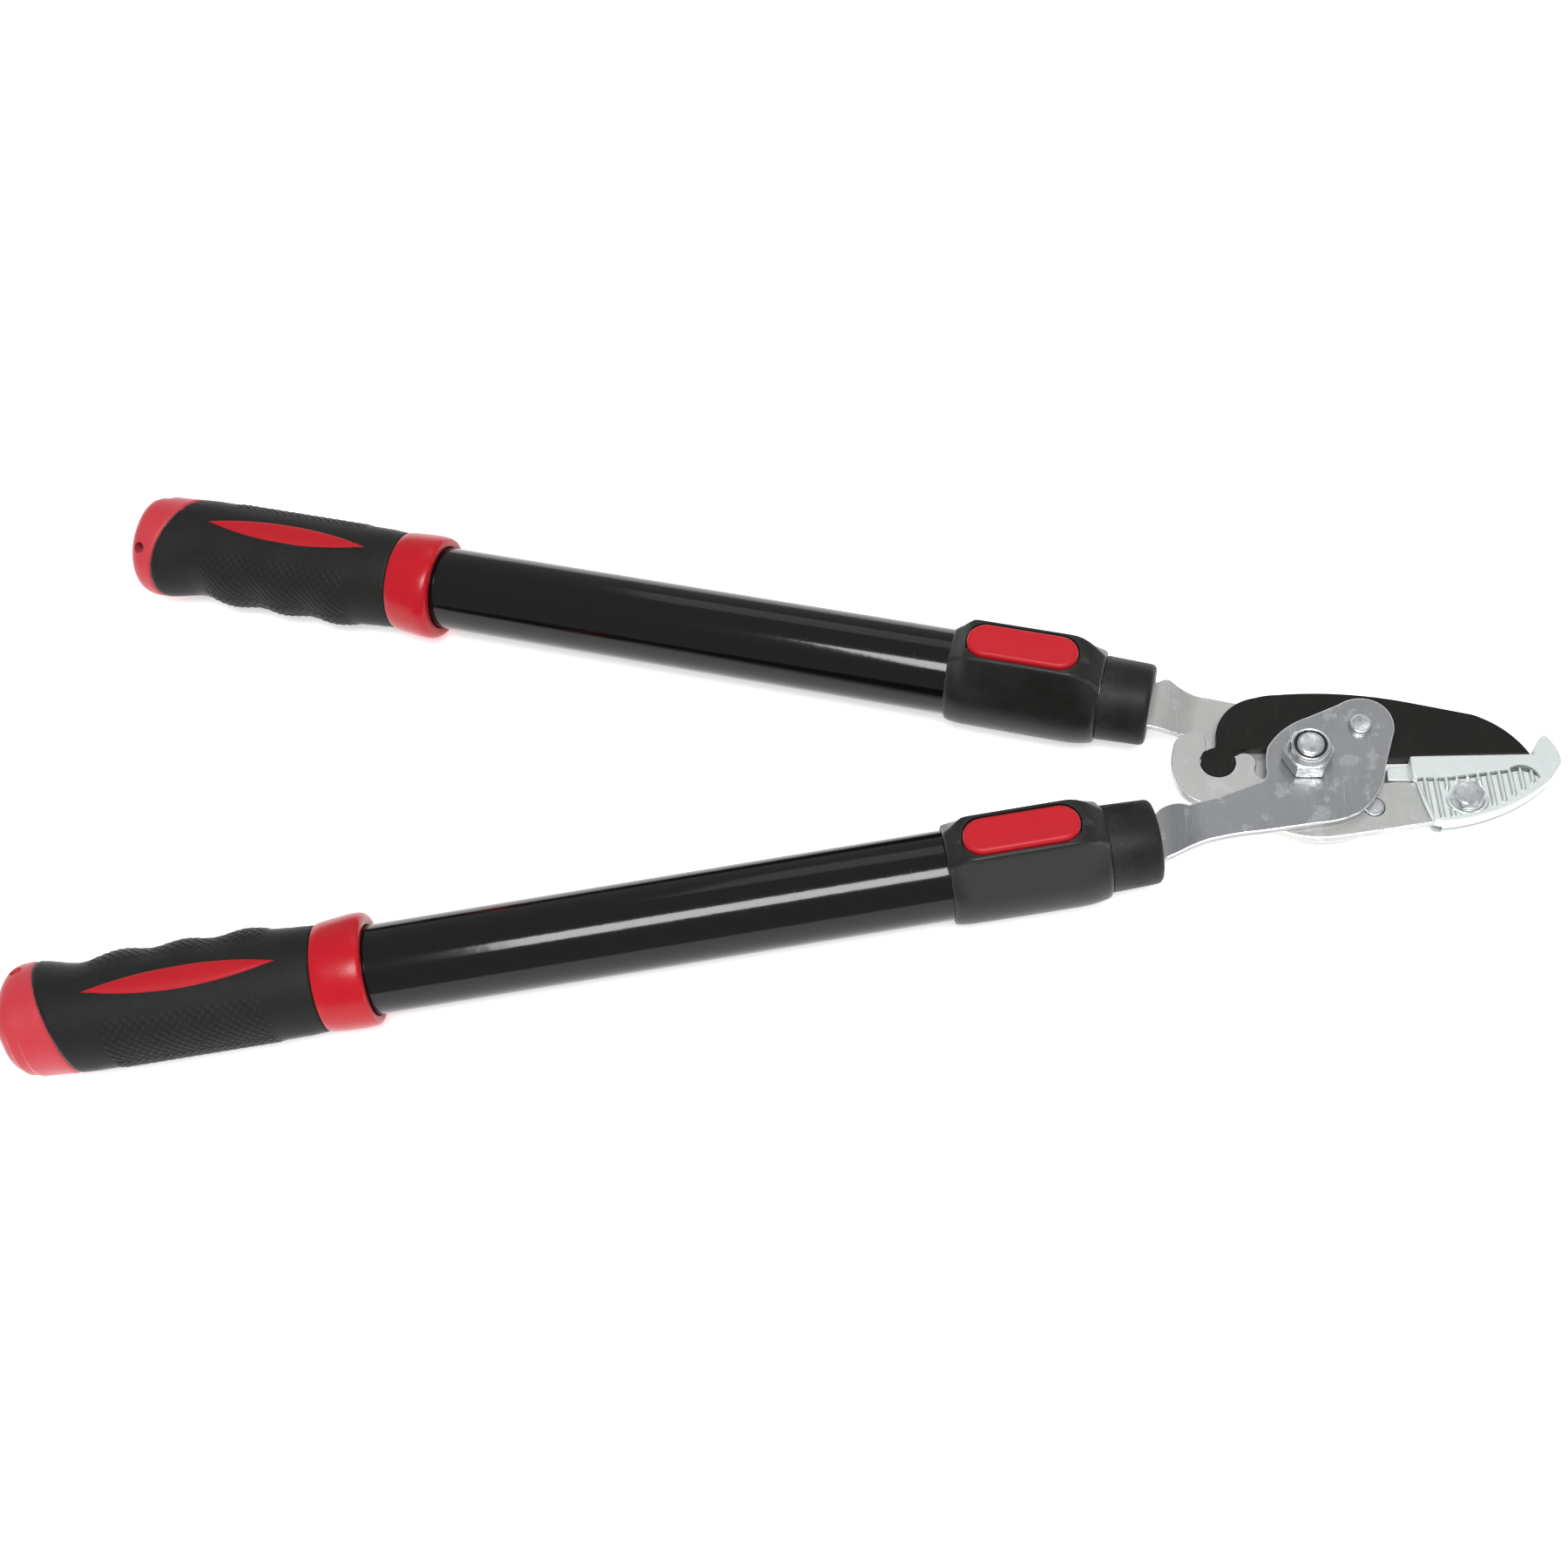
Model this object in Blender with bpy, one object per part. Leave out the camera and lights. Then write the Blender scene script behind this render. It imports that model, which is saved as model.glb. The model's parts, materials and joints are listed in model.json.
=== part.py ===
"""Compound-action anvil loppers with telescopic handles, lying flat with the jaws shut and the tubes slid in.

Lengths are millimetres until MM scales them. The head is drawn in its own plane: X runs to the tip, Y to
the upper handle, Z up, with the origin between the two handle axes. Each handle has a frame of its own,
whose X runs back along the tube from the foot of the perpendicular through that origin.
"""

import math

import bmesh
import bpy
from mathutils import Vector

MM = 0.001
GAP = 0.3

# Where the head's own origin stands: the whole tool is centred on X and Y and rests on Z = 0.
HEAD_X = 204.7
HEAD_Y = 0.0
AXIS_HEIGHT = 21.6

# Handles
HANDLE_ANGLE = math.radians(11.31)
AXIS_OFFSET = 18.52
FERRULE_FRONT = 62.7
FERRULE_REAR = 82.7
HOUSING_REAR = 143.1
GRIP_FRONT = 366.6
COLLAR_REAR = 386.0
CAP_FRONT = 490.0
GRIP_REAR = 514.9
INLAY_FRONT = 398.8
INLAY_REAR = 473.2
INLAY_HALF = 4.8
GRIP_RADIUS = 21.2
COVER_RINGS = 27
SLEEVE_RADIUS = 19.3
FINGER_FIRST = 414.0
FINGER_PITCH = 24.5
HANG_STATION = 509.6
HANG_RADIUS = 2.15
HANG_TILT = math.radians(35.0)

TUBE_RADIUS = 17.5
TUBE_WALL = 1.2
INNER_RADIUS = 14.5
INNER_WALL = 2.5
INNER_FRONT = 68.0
INNER_REAR = 490.0
GROOVE_WIDTH = 8.4
GROOVE_FLOOR = 13.0
FERRULE_RADIUS = 16.5
SPIGOT_RADIUS = 11.7
SPIGOT_REAR = 100.0
PIN_STATION = 92.0
PIN_RADIUS = 2.5
HOUSING_RADIUS = 20.0
HOUSING_TOP = 27.0
HOUSING_TOP_HALF = 9.5
HOUSING_CORNER = math.atan2(HOUSING_TOP, HOUSING_TOP_HALF)
LIP_REAR = 86.0

BUTTON_FRONT = 92.6
BUTTON_REAR = 136.6
BUTTON_WIDTH = 15.0
BUTTON_TOP = 28.3
BUTTON_PIVOT = 116.0
BUTTON_PIVOT_HEIGHT = 23.0
POCKET_FLOOR = 19.2
POCKET_GAP = 0.8
PEG_STATION = 101.0
PEG_RADIUS = 3.25
PEG_SEAT = 25.0
LOCK_PITCH = 40.0
LOCK_STEPS = 8
LOCK_HOLE_RADIUS = 3.6
ROCKER_RADIUS = 1.5
SPRING_STATION = 130.0
SPRING_RADIUS = 2.3
SPRING_WIRE = 0.35
SPRING_TURNS = 3
SPRING_SEAT = 24.2
STEPS_PER_TURN = 8
WIRE_SIDES = 5

# Head plates, from the back: upper arm, anvil plate and blade side by side, lever arm.
MID_HALF = 2.0
ARM_THICKNESS = 3.0
FRONT_FACE = MID_HALF + GAP + ARM_THICKNESS
JOGGLE_FRONT = 45.0
JOGGLE_REAR = 54.0
SHANK_HALF = 10.4
SHANK_REAR = 98.0

PIVOT = (0.0, 3.0)
PIVOT_RADIUS = 5.0
NUT_ACROSS = 17.0
LEVER_ARC = 29.5
BALL = (-33.1, 3.5)
BALL_RADIUS = 6.45
DRIVE_PIN = (21.1, 18.0)
DRIVE_RADIUS = 3.0
DRIVE_HEAD_RADIUS = 4.2
DRIVE_SLOT_TRAVEL = 13.6
DRIVE_SLOT_CLEARANCE = 0.45
PLATE_RIVET = (24.0, -16.0)
PLATE_RIVET_RADIUS = 3.9
ANVIL_BOLT = (57.7, -13.5)
ANVIL_BOLT_RADIUS = 3.0
ANVIL_BOLT_ACROSS = 10.0
BLADE_RECESS = 12.6
CASTING_HALF = 5.4
PAD_HALF = 6.4
TONGUE_HALF = 1.7

ROUND = 24
SMALL_ROUND = 16


# ---------------------------------------------------------------- outlines

def arc_through(start, middle, end, steps=8):
    """Points of the arc from start over middle to end, without start itself."""
    (ax, ay), (bx, by), (cx, cy) = start, middle, end
    scale = 2.0 * (ax * (by - cy) + bx * (cy - ay) + cx * (ay - by))
    a2, b2, c2 = ax * ax + ay * ay, bx * bx + by * by, cx * cx + cy * cy
    centre_x = (a2 * (by - cy) + b2 * (cy - ay) + c2 * (ay - by)) / scale
    centre_y = (a2 * (cx - bx) + b2 * (ax - cx) + c2 * (bx - ax)) / scale
    radius = math.hypot(ax - centre_x, ay - centre_y)
    first = math.atan2(ay - centre_y, ax - centre_x)
    sweep = (math.atan2(cy - centre_y, cx - centre_x) - first) % math.tau
    through = (math.atan2(by - centre_y, bx - centre_x) - first) % math.tau
    if through > sweep:
        sweep -= math.tau
    angles = [first + sweep * k / steps for k in range(1, steps + 1)]
    return [(centre_x + radius * math.cos(a), centre_y + radius * math.sin(a)) for a in angles]


def arc_about(centre, radius, first, last, steps=12):
    """Points of the arc about centre from angle first to angle last, in degrees."""
    angles = [math.radians(first + (last - first) * k / steps) for k in range(steps + 1)]
    return [(centre[0] + radius * math.cos(a), centre[1] + radius * math.sin(a)) for a in angles]


def outline(*strokes):
    """A closed outline of points, lists of points, and (middle, end) pairs, which are arcs over the middle."""
    points = []
    for stroke in strokes:
        if isinstance(stroke, list):
            points += stroke
        elif isinstance(stroke[0], tuple):
            points += arc_through(points[-1], *stroke)
        else:
            points.append(stroke)
    return points


def circle(centre, radius, steps=SMALL_ROUND):
    return arc_about(centre, radius, 0.0, 360.0 * (steps - 1) / steps, steps - 1)


def stadium(start, end, half_width, steps=8):
    """A slot with round ends, between the two end centres."""
    heading = math.degrees(math.atan2(end[1] - start[1], end[0] - start[0]))
    far = arc_about(end, half_width, heading - 90.0, heading + 90.0, steps)
    return far + arc_about(start, half_width, heading + 90.0, heading + 270.0, steps)


# ---------------------------------------------------------------- meshes

def prism(points, low, high):
    bm = bmesh.new()
    face = bm.faces.new([bm.verts.new((x, y, low)) for x, y in points])
    top = bmesh.ops.extrude_face_region(bm, geom=[face])["geom"]
    raised = [item for item in top if isinstance(item, bmesh.types.BMVert)]
    bmesh.ops.translate(bm, verts=raised, vec=(0.0, 0.0, high - low))
    return bm


def loft(rings, closed=False):
    """Rings of points joined in turn: capped at both ends, or closed on themselves."""
    bm = bmesh.new()
    made = [[bm.verts.new(point) for point in ring] for ring in rings]
    pairs = list(zip(made, made[1:]))
    if closed:
        pairs.append((made[-1], made[0]))
    else:
        bm.faces.new(made[0])
        bm.faces.new(made[-1])
    for one, two in pairs:
        for k in range(len(one)):
            after = (k + 1) % len(one)
            bm.faces.new((one[k], one[after], two[after], two[k]))
    return bm


def hex_reach(across, turn):
    """How far a hexagon's edge is from its centre in the direction of turn."""
    return across / 2.0 / math.cos((turn % (math.tau / 6.0)) - math.tau / 12.0)


def turned(profile, along="X", closed=False, steps=ROUND, centre=(0.0, 0.0)):
    """A profile of (station, radius) about X, Y or Z. A radius of ("hex", across) is a six-sided ring."""
    rings = []
    for station, radius in profile:
        ring = []
        for k in range(steps):
            turn = math.tau * k / steps
            reach = hex_reach(radius[1], turn) if isinstance(radius, tuple) else radius
            one = centre[0] + reach * math.cos(turn)
            two = centre[1] + reach * math.sin(turn)
            ring.append({"X": (station, one, two), "Y": (one, station, two), "Z": (one, two, station)}[along])
        rings.append(ring)
    return loft(rings, closed)


def block(low, high):
    """A box between two corners."""
    corners = [(low[0], low[1]), (high[0], low[1]), (high[0], high[1]), (low[0], high[1])]
    return prism(corners, low[2], high[2])


def joined(*meshes):
    """Several closed shapes in one mesh, for a cutter."""
    bm = bmesh.new()
    for part in meshes:
        data = bpy.data.meshes.new("shape")
        bmesh.ops.recalc_face_normals(part, faces=part.faces)
        part.to_mesh(data)
        part.free()
        bm.from_mesh(data)
        bpy.data.meshes.remove(data)
    return bm


# ---------------------------------------------------------------- objects

def finish(name, colour, roughness, metallic=0.0):
    made = bpy.data.materials.new(name)
    made.use_nodes = True
    shader = made.node_tree.nodes["Principled BSDF"]
    shader.inputs["Base Color"].default_value = (*colour, 1.0)
    shader.inputs["Roughness"].default_value = roughness
    shader.inputs["Metallic"].default_value = metallic
    return made


def frame(name, parent=None, location=(0.0, 0.0, 0.0), turn=0.0):
    empty = bpy.data.objects.new(name, None)
    bpy.context.collection.objects.link(empty)
    empty.parent = parent
    empty.location = Vector(location) * MM
    empty.rotation_euler = (0.0, 0.0, turn)
    return empty


def solid(name, bm, parent, material=None, drawn_from=(0.0, 0.0, 0.0)):
    """An object on its parent's frame, whose origin stands at drawn_from in the drawing of the mesh."""
    bmesh.ops.recalc_face_normals(bm, faces=bm.faces)
    bmesh.ops.translate(bm, verts=bm.verts, vec=-Vector(drawn_from))
    bmesh.ops.scale(bm, verts=bm.verts, vec=(MM, MM, MM))
    mesh = bpy.data.meshes.new(name)
    bm.to_mesh(mesh)
    bm.free()
    mesh.shade_smooth()
    mesh.set_sharp_from_angle(angle=math.radians(32.0))
    made = bpy.data.objects.new(name, mesh)
    bpy.context.collection.objects.link(made)
    made.parent = parent
    made["drawn_from"] = drawn_from
    if material:
        mesh.materials.append(material)
    return made


def combine(target, operation, *meshes):
    """Add or take away closed shapes, drawn like the target, with a Boolean."""
    tool = solid(f"{target.name}.{operation.lower()}", joined(*meshes), target.parent,
                 drawn_from=tuple(target["drawn_from"]))
    tool.hide_render = True
    tool.display_type = "WIRE"
    boolean = target.modifiers.new(operation.lower(), "BOOLEAN")
    boolean.operation = operation
    boolean.object = tool
    boolean.solver = "EXACT"
    boolean.use_self = True
    return target


def cut(target, *meshes):
    return combine(target, "DIFFERENCE", *meshes)


# ---------------------------------------------------------------- head

def handle_point(side, station, lateral):
    """The head-frame point at a station of a handle, lateral millimetres outwards from its axis."""
    reach = AXIS_OFFSET + lateral
    x = math.sin(HANDLE_ANGLE) * reach - math.cos(HANDLE_ANGLE) * station
    y = math.cos(HANDLE_ANGLE) * reach + math.sin(HANDLE_ANGLE) * station
    return (x, side * y)


def hole(centre, radius, low=-20.0, high=20.0):
    return prism(circle(centre, radius), low, high)


def joggle(bm, side, shift):
    """Step a plate's shank by shift along Z, between the two bend lines across the handle."""
    along = Vector((-math.cos(HANDLE_ANGLE), side * math.sin(HANDLE_ANGLE), 0.0))
    for station in (JOGGLE_FRONT, JOGGLE_REAR):
        everything = bm.verts[:] + bm.edges[:] + bm.faces[:]
        bmesh.ops.bisect_plane(bm, geom=everything, plane_co=along * station, plane_no=along, dist=1e-5)
    for vert in bm.verts:
        reach = (along.dot(vert.co) - JOGGLE_FRONT) / (JOGGLE_REAR - JOGGLE_FRONT)
        vert.co.z += shift * min(max(reach, 0.0), 1.0)
    return bm


def build_upper_arm(parent, steel):
    """The back plate: the upper handle's shank, pinned flat to the anvil plate."""
    points = outline(
        handle_point(1, SHANK_REAR, SHANK_HALF), handle_point(1, 62.0, SHANK_HALF),
        handle_point(1, 60.5, 11.6), (handle_point(1, 58.0, 12.8), handle_point(1, 55.5, 12.0)),
        ((-44.0, 38.0), (-36.4, 35.9)), (-20.7, 32.2),
        ((14.0, 26.0), (31.0, 2.0)), ((34.0, -8.0), (31.5, -22.4)),
        (18.8, -25.6), ((6.0, -28.9), (-8.0, -26.6)),
        ((-20.0, -17.0), (-30.0, -4.0)), ((-37.4, 9.0), (-42.4, 17.4)),
        (-47.5, 17.8), handle_point(1, 59.0, -10.6), handle_point(1, SHANK_REAR, -SHANK_HALF))
    plate = joggle(prism(points, -FRONT_FACE, -FRONT_FACE + ARM_THICKNESS), 1, FRONT_FACE - ARM_THICKNESS / 2.0)
    arm = solid("upper_arm", plate, parent, steel)
    return cut(arm, hole(PIVOT, PIVOT_RADIUS + GAP), hole(PLATE_RIVET, PLATE_RIVET_RADIUS + GAP),
               hole(handle_point(1, PIN_STATION, 0.0), PIN_RADIUS + GAP))


def build_lever_arm(parent, steel):
    """The front plate: the lower handle's shank, the arc about the pivot and the lobe of the drive pin."""
    points = outline(
        handle_point(-1, SHANK_REAR, SHANK_HALF), handle_point(-1, 62.0, SHANK_HALF),
        handle_point(-1, 60.6, 8.7), (-45.9, -35.1), ((-32.0, -30.9), (-18.5, -28.6)), (3.1, -24.9),
        ((11.0, -23.4), (17.75, -20.56)), arc_about(PIVOT, LEVER_ARC, -53.0, -6.0, 10)[1:], (33.4, 14.2),
        ((34.1, 18.0), (33.9, 20.4)), ((31.4, 26.4), (25.0, 30.4)), ((19.4, 30.4), (14.0, 28.0)), (1.1, 21.8),
        ((-8.4, 16.0), (-14.6, 8.0)), ((-15.5, 2.0), (-15.3, -3.0)), ((-16.6, -6.0), (-19.3, -7.6)),
        (-33.7, -13.7), (-40.9, -15.9), (-45.0, -17.2), ((-50.0, -15.7), (-56.2, -17.6)),
        handle_point(-1, 61.0, -10.4), handle_point(-1, SHANK_REAR, -SHANK_HALF))
    plate = joggle(prism(points, FRONT_FACE - ARM_THICKNESS, FRONT_FACE), -1, ARM_THICKNESS / 2.0 - FRONT_FACE)
    arm = solid("lever_arm", plate, parent, steel, (*PIVOT, 0.0))
    return cut(arm, hole(PIVOT, PIVOT_RADIUS + GAP), hole(DRIVE_PIN, DRIVE_RADIUS + GAP),
               hole(handle_point(-1, PIN_STATION, 0.0), PIN_RADIUS + GAP))


def build_anvil_plate(parent, steel):
    """The fixed middle plate: the hooked socket behind the pivot, the anvil's seat in front of it."""
    boss = BLADE_RECESS - 2.0 * GAP
    points = outline(
        (-43.1, -13.2), (-36.0, -17.0), (-14.0, -25.6), ((-4.0, -28.8), (8.0, -29.2)), (27.2, -25.8),
        (47.0, -22.0), ((68.0, -16.8), (84.0, -6.5)), (84.0, -4.0), (26.0, -5.4), (15.0, -3.0), (boss, 3.0),
        arc_about(PIVOT, boss, 5.0, 180.0, 14), ((-15.6, -3.9), (-19.3, 0.6)), ((-22.0, 7.4), (-25.6, 6.6)),
        arc_about(BALL, BALL_RADIUS + GAP, 22.0, -232.0, 28),
        (-37.4, 12.6), ((-38.3, 15.2), (-41.0, 16.6)), ((-46.4, 15.6), (-49.7, 10.8)),
        ((-50.8, 1.0), (-48.9, -6.9)), ((-46.5, -10.6), (-43.1, -13.2)))
    plate = solid("anvil_plate", prism(points[:-1], -MID_HALF, MID_HALF), parent, steel)
    return cut(plate, hole(PIVOT, PIVOT_RADIUS + GAP), hole(PLATE_RIVET, PLATE_RIVET_RADIUS + GAP),
               hole(ANVIL_BOLT, ANVIL_BOLT_RADIUS + GAP))


def build_blade(parent, steel):
    """One plate from the tail's ball to the nose, with the drive pin's slot on the line to the ball."""
    points = outline(
        arc_about(BALL, BALL_RADIUS, 99.0, 380.0, 28),
        ((-25.4, 8.6), (-22.9, 9.5)), arc_about(PIVOT, BLADE_RECESS, 148.0, 22.0, 12),
        (30.3, 4.05), (83.0, 5.42), ((83.9, 6.6), (83.5, 8.4)), ((75.9, 18.2), (64.4, 25.4)), (40.5, 31.0),
        ((16.0, 34.6), (-8.8, 34.3)), (-20.0, 31.7), ((-29.8, 26.4), (-33.2, 17.0)), (-33.2, 11.4))
    blade = solid("blade", prism(points, -MID_HALF, MID_HALF), parent, steel, (*BALL, 0.0))
    inward = (Vector(BALL) - Vector(DRIVE_PIN)).normalized() * DRIVE_SLOT_TRAVEL
    slot_end = tuple(Vector(DRIVE_PIN) + inward)
    return cut(blade, prism(stadium(DRIVE_PIN, slot_end, DRIVE_RADIUS + DRIVE_SLOT_CLEARANCE), -9.0, 9.0))


def build_anvil(parent, alloy):
    """The cast anvil: two cheeks astride the plate, a flat pad with a tongue behind it and a hooked nose."""
    points = outline(
        (38.2, 3.9), (83.6, 5.1), ((85.4, 10.2), (88.8, 14.1)), ((92.4, 8.4), (93.6, 1.8)),
        ((91.6, -1.6), (88.9, -5.6)), ((70.6, -18.2), (47.5, -24.6)), (45.2, -24.0),
        ((41.8, -13.0), (40.3, -5.7)), (38.3, -4.4))
    anvil = solid("anvil", prism(points, -PAD_HALF, PAD_HALF), parent, alloy)
    recess = outline(
        (36.0, -5.2), (49.5, -5.4), (73.7, -1.6), ((82.4, -1.0), (85.0, -5.0)), ((69.4, -16.6), (48.0, -22.6)),
        (36.0, -25.0))
    seat = outline(
        (30.0, -3.4), (84.6, -3.4), (84.6, -7.0), ((69.0, -17.4), (50.0, -22.0)), (44.0, -30.0), (30.0, -30.0))
    cut(anvil, prism(recess, CASTING_HALF, 9.0), prism(recess, -9.0, -CASTING_HALF),
        prism(seat, -MID_HALF - GAP, MID_HALF + GAP), hole(ANVIL_BOLT, ANVIL_BOLT_RADIUS + GAP))
    tongue = [(30.2, -4.2), (39.5, -4.2), (39.5, 2.4), (31.2, 1.8), (30.2, 0.8)]
    return combine(anvil, "UNION", prism(tongue, -TONGUE_HALF, TONGUE_HALF))


def build_pivot(parent, zinc, nylon):
    """The pivot bolt with its lock nut. Threads are drawn as plain shafts."""
    back = -FRONT_FACE - GAP
    seat = FRONT_FACE + GAP
    top = seat + 11.0
    bore = PIVOT_RADIUS + 0.2
    bolt = [(back - 6.2, 7.4), (back - 5.4, ("hex", NUT_ACROSS)), (back, ("hex", NUT_ACROSS)),
            (back, PIVOT_RADIUS), (top, PIVOT_RADIUS), (top + 0.8, PIVOT_RADIUS - 0.8)]
    solid("pivot_bolt", turned(bolt, "Z", False, 24, PIVOT), parent, zinc)
    nut = [(seat, bore), (seat, ("hex", NUT_ACROSS)), (seat + 7.2, ("hex", NUT_ACROSS)), (seat + 8.4, 7.6),
           (top - 0.8, 7.6), (top, 6.9), (top, 6.4), (seat + 8.6, 6.4), (seat + 8.6, bore)]
    solid("pivot_nut", turned(nut, "Z", True, 24, PIVOT), parent, zinc)
    ring = [(seat + 8.9, bore), (seat + 8.9, 6.1), (top - 0.5, 6.1), (top - 0.5, bore)]
    solid("nut_insert", turned(ring, "Z", True, 24, PIVOT), parent, nylon)


def build_plate_rivet(parent, zinc):
    back = -FRONT_FACE - GAP
    rivet = [(back - 1.6, 4.6), (back - 0.4, 5.6), (back, 5.6), (back, PLATE_RIVET_RADIUS),
             (MID_HALF + 0.1, PLATE_RIVET_RADIUS)]
    solid("plate_rivet", turned(rivet, "Z", False, SMALL_ROUND, PLATE_RIVET), parent, zinc)


def build_anvil_bolt(parent, zinc):
    seat = CASTING_HALF + GAP
    across = ("hex", ANVIL_BOLT_ACROSS)
    bolt = [(-seat - 6.0, ANVIL_BOLT_RADIUS - 0.6), (-seat - 5.4, ANVIL_BOLT_RADIUS), (seat, ANVIL_BOLT_RADIUS),
            (seat, across), (seat + 3.5, across), (seat + 4.0, 4.5)]
    solid("anvil_bolt", turned(bolt, "Z", False, 24, ANVIL_BOLT), parent, zinc)
    bore = ANVIL_BOLT_RADIUS + 0.2
    nut = [(-seat, bore), (-seat, across), (-seat - 4.5, across), (-seat - 5.0, 4.5), (-seat - 5.0, bore)]
    solid("anvil_nut", turned(nut, "Z", True, 24, ANVIL_BOLT), parent, zinc)


def build_drive_pin(parent, zinc):
    seat = FRONT_FACE + GAP
    pin = [(0.3 - MID_HALF, DRIVE_RADIUS), (seat, DRIVE_RADIUS), (seat, DRIVE_HEAD_RADIUS),
           (seat + 1.8, DRIVE_HEAD_RADIUS), (seat + 2.2, DRIVE_HEAD_RADIUS - 0.8)]
    bm = turned(pin, "Z", False, SMALL_ROUND, DRIVE_PIN)
    solid("drive_pin", bm, parent, zinc, (*PIVOT, 0.0))


# ---------------------------------------------------------------- handles

def build_ferrule(name, parent, plastic):
    """The plug between arm and tube: a flared sleeve outside, a slotted spigot inside the tube."""
    tube_seat = INNER_RADIUS + GAP
    profile = [(FERRULE_FRONT, FERRULE_RADIUS - 1.8), (FERRULE_FRONT + 1.6, FERRULE_RADIUS - 0.3),
               (FERRULE_REAR - GAP, FERRULE_RADIUS + 0.4), (FERRULE_REAR - GAP, tube_seat),
               (INNER_FRONT - GAP, tube_seat), (INNER_FRONT - GAP, SPIGOT_RADIUS), (SPIGOT_REAR, SPIGOT_RADIUS)]
    ferrule = solid(name, turned(profile), parent, plastic)
    half = SHANK_HALF + GAP
    thick = ARM_THICKNESS / 2.0 + GAP
    slot = block((FERRULE_FRONT - 5.0, -half, -thick), (SPIGOT_REAR + 5.0, half, thick))
    return cut(ferrule, slot, hole((PIN_STATION, 0.0), PIN_RADIUS + GAP))


def build_inner_tube(name, parent, metal):
    """The extruded inner tube: a key groove along its top, with a lock hole at every setting."""
    bore = INNER_RADIUS - INNER_WALL
    profile = [(INNER_FRONT, bore), (INNER_FRONT, INNER_RADIUS), (INNER_REAR, INNER_RADIUS), (INNER_REAR, bore)]
    tube = solid(name, turned(profile, closed=True), parent, metal)
    half = GROOVE_WIDTH / 2.0
    groove = block((PIN_STATION + 3.0, -half, GROOVE_FLOOR), (INNER_REAR + 5.0, half, 20.0))
    settings = [PEG_STATION + LOCK_PITCH * k for k in range(LOCK_STEPS)]
    cut(tube, groove)
    return cut(tube, hole((PIN_STATION, 0.0), PIN_RADIUS + GAP),
               *[hole((station, 0.0), LOCK_HOLE_RADIUS, 0.0, 20.0) for station in settings])


def build_shank_pin(name, parent, steel):
    reach = math.sqrt(INNER_RADIUS ** 2 - PIN_RADIUS ** 2) - GAP
    profile = [(-reach, PIN_RADIUS), (reach, PIN_RADIUS)]
    return solid(name, turned(profile, "Z", False, SMALL_ROUND, (PIN_STATION, 0.0)), parent, steel)


def build_slide_bush(name, parent, plastic):
    outer = TUBE_RADIUS - TUBE_WALL - GAP
    bore = INNER_RADIUS + GAP
    profile = [(INNER_REAR - 12.0, bore), (INNER_REAR - 12.0, outer), (INNER_REAR + 3.3, outer),
               (INNER_REAR + 3.3, bore - 2.3), (INNER_REAR + GAP, bore - 2.3), (INNER_REAR + GAP, bore)]
    return solid(name, turned(profile, closed=True), parent, plastic)


def build_outer_tube(name, parent, lacquer):
    bore = TUBE_RADIUS - TUBE_WALL
    front = LIP_REAR + GAP
    rear = GRIP_REAR - 10.0
    tube = solid(name, turned([(front, bore), (front, TUBE_RADIUS), (rear, TUBE_RADIUS), (rear, bore)], closed=True),
                 parent, lacquer)
    return cut(tube, hole((PEG_STATION, 0.0), PEG_RADIUS + 1.2, 0.0, 20.0))


def housing_ring(station, radius, top=None):
    """A round section. With a top, it is flat at that height and joined to the round by tangent sides."""
    corner = math.degrees(HOUSING_CORNER)
    tangent = HOUSING_CORNER
    if top:
        tangent -= math.acos(min(radius * math.sin(HOUSING_CORNER) / top, 1.0))
    turns = [150.0 + 10.0 * k for k in range(25)] + [40.0, 55.0, corner, 80.0, 90.0, 100.0]
    ring = []
    for turn in turns + [180.0 - corner, 125.0, 140.0]:
        angle = math.radians(turn)
        from_side = math.asin(math.sin(angle)) if math.sin(angle) > 0.0 else 0.0
        reach = radius
        if top and from_side >= HOUSING_CORNER - 1e-6:
            reach = top / math.sin(from_side)
        elif top and from_side > tangent:
            reach = radius / math.cos(from_side - tangent)
        ring.append((station, reach * math.cos(angle), reach * math.sin(angle)))
    return ring


def build_lock_housing(name, parent, plastic):
    """The sleeve on the front of the outer tube, with the button's pocket in its raised top."""
    outside = [(FERRULE_REAR + GAP, 18.4, 19.6), (84.2, 19.0, 20.8), (88.0, 19.8, 23.6), (95.6, 20.2, HOUSING_TOP),
               (134.6, HOUSING_RADIUS, HOUSING_TOP), (140.8, 19.6, 22.4), (HOUSING_REAR, 19.0, 20.2)]
    bore = TUBE_RADIUS + GAP
    lip = INNER_RADIUS + 0.4
    inside = [(HOUSING_REAR, bore), (LIP_REAR, bore), (LIP_REAR, lip), (FERRULE_REAR + GAP, lip)]
    rings = [housing_ring(*section) for section in outside]
    rings += [housing_ring(*section) for section in inside]
    housing = solid(name, loft(rings, closed=True), parent, plastic)
    half = BUTTON_WIDTH / 2.0
    pocket = stadium((BUTTON_FRONT + half, 0.0), (BUTTON_REAR - half, 0.0), half + POCKET_GAP)
    cut(housing, prism(pocket, POCKET_FLOOR, 40.0))
    pin = turned([(-10.4, ROCKER_RADIUS + GAP), (10.4, ROCKER_RADIUS + GAP)], "Y", False, SMALL_ROUND,
                 (BUTTON_PIVOT, BUTTON_PIVOT_HEIGHT))
    return cut(housing, pin, hole((PEG_STATION, 0.0), PEG_RADIUS + 1.2, 0.0, POCKET_FLOOR + 1.0))


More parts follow.
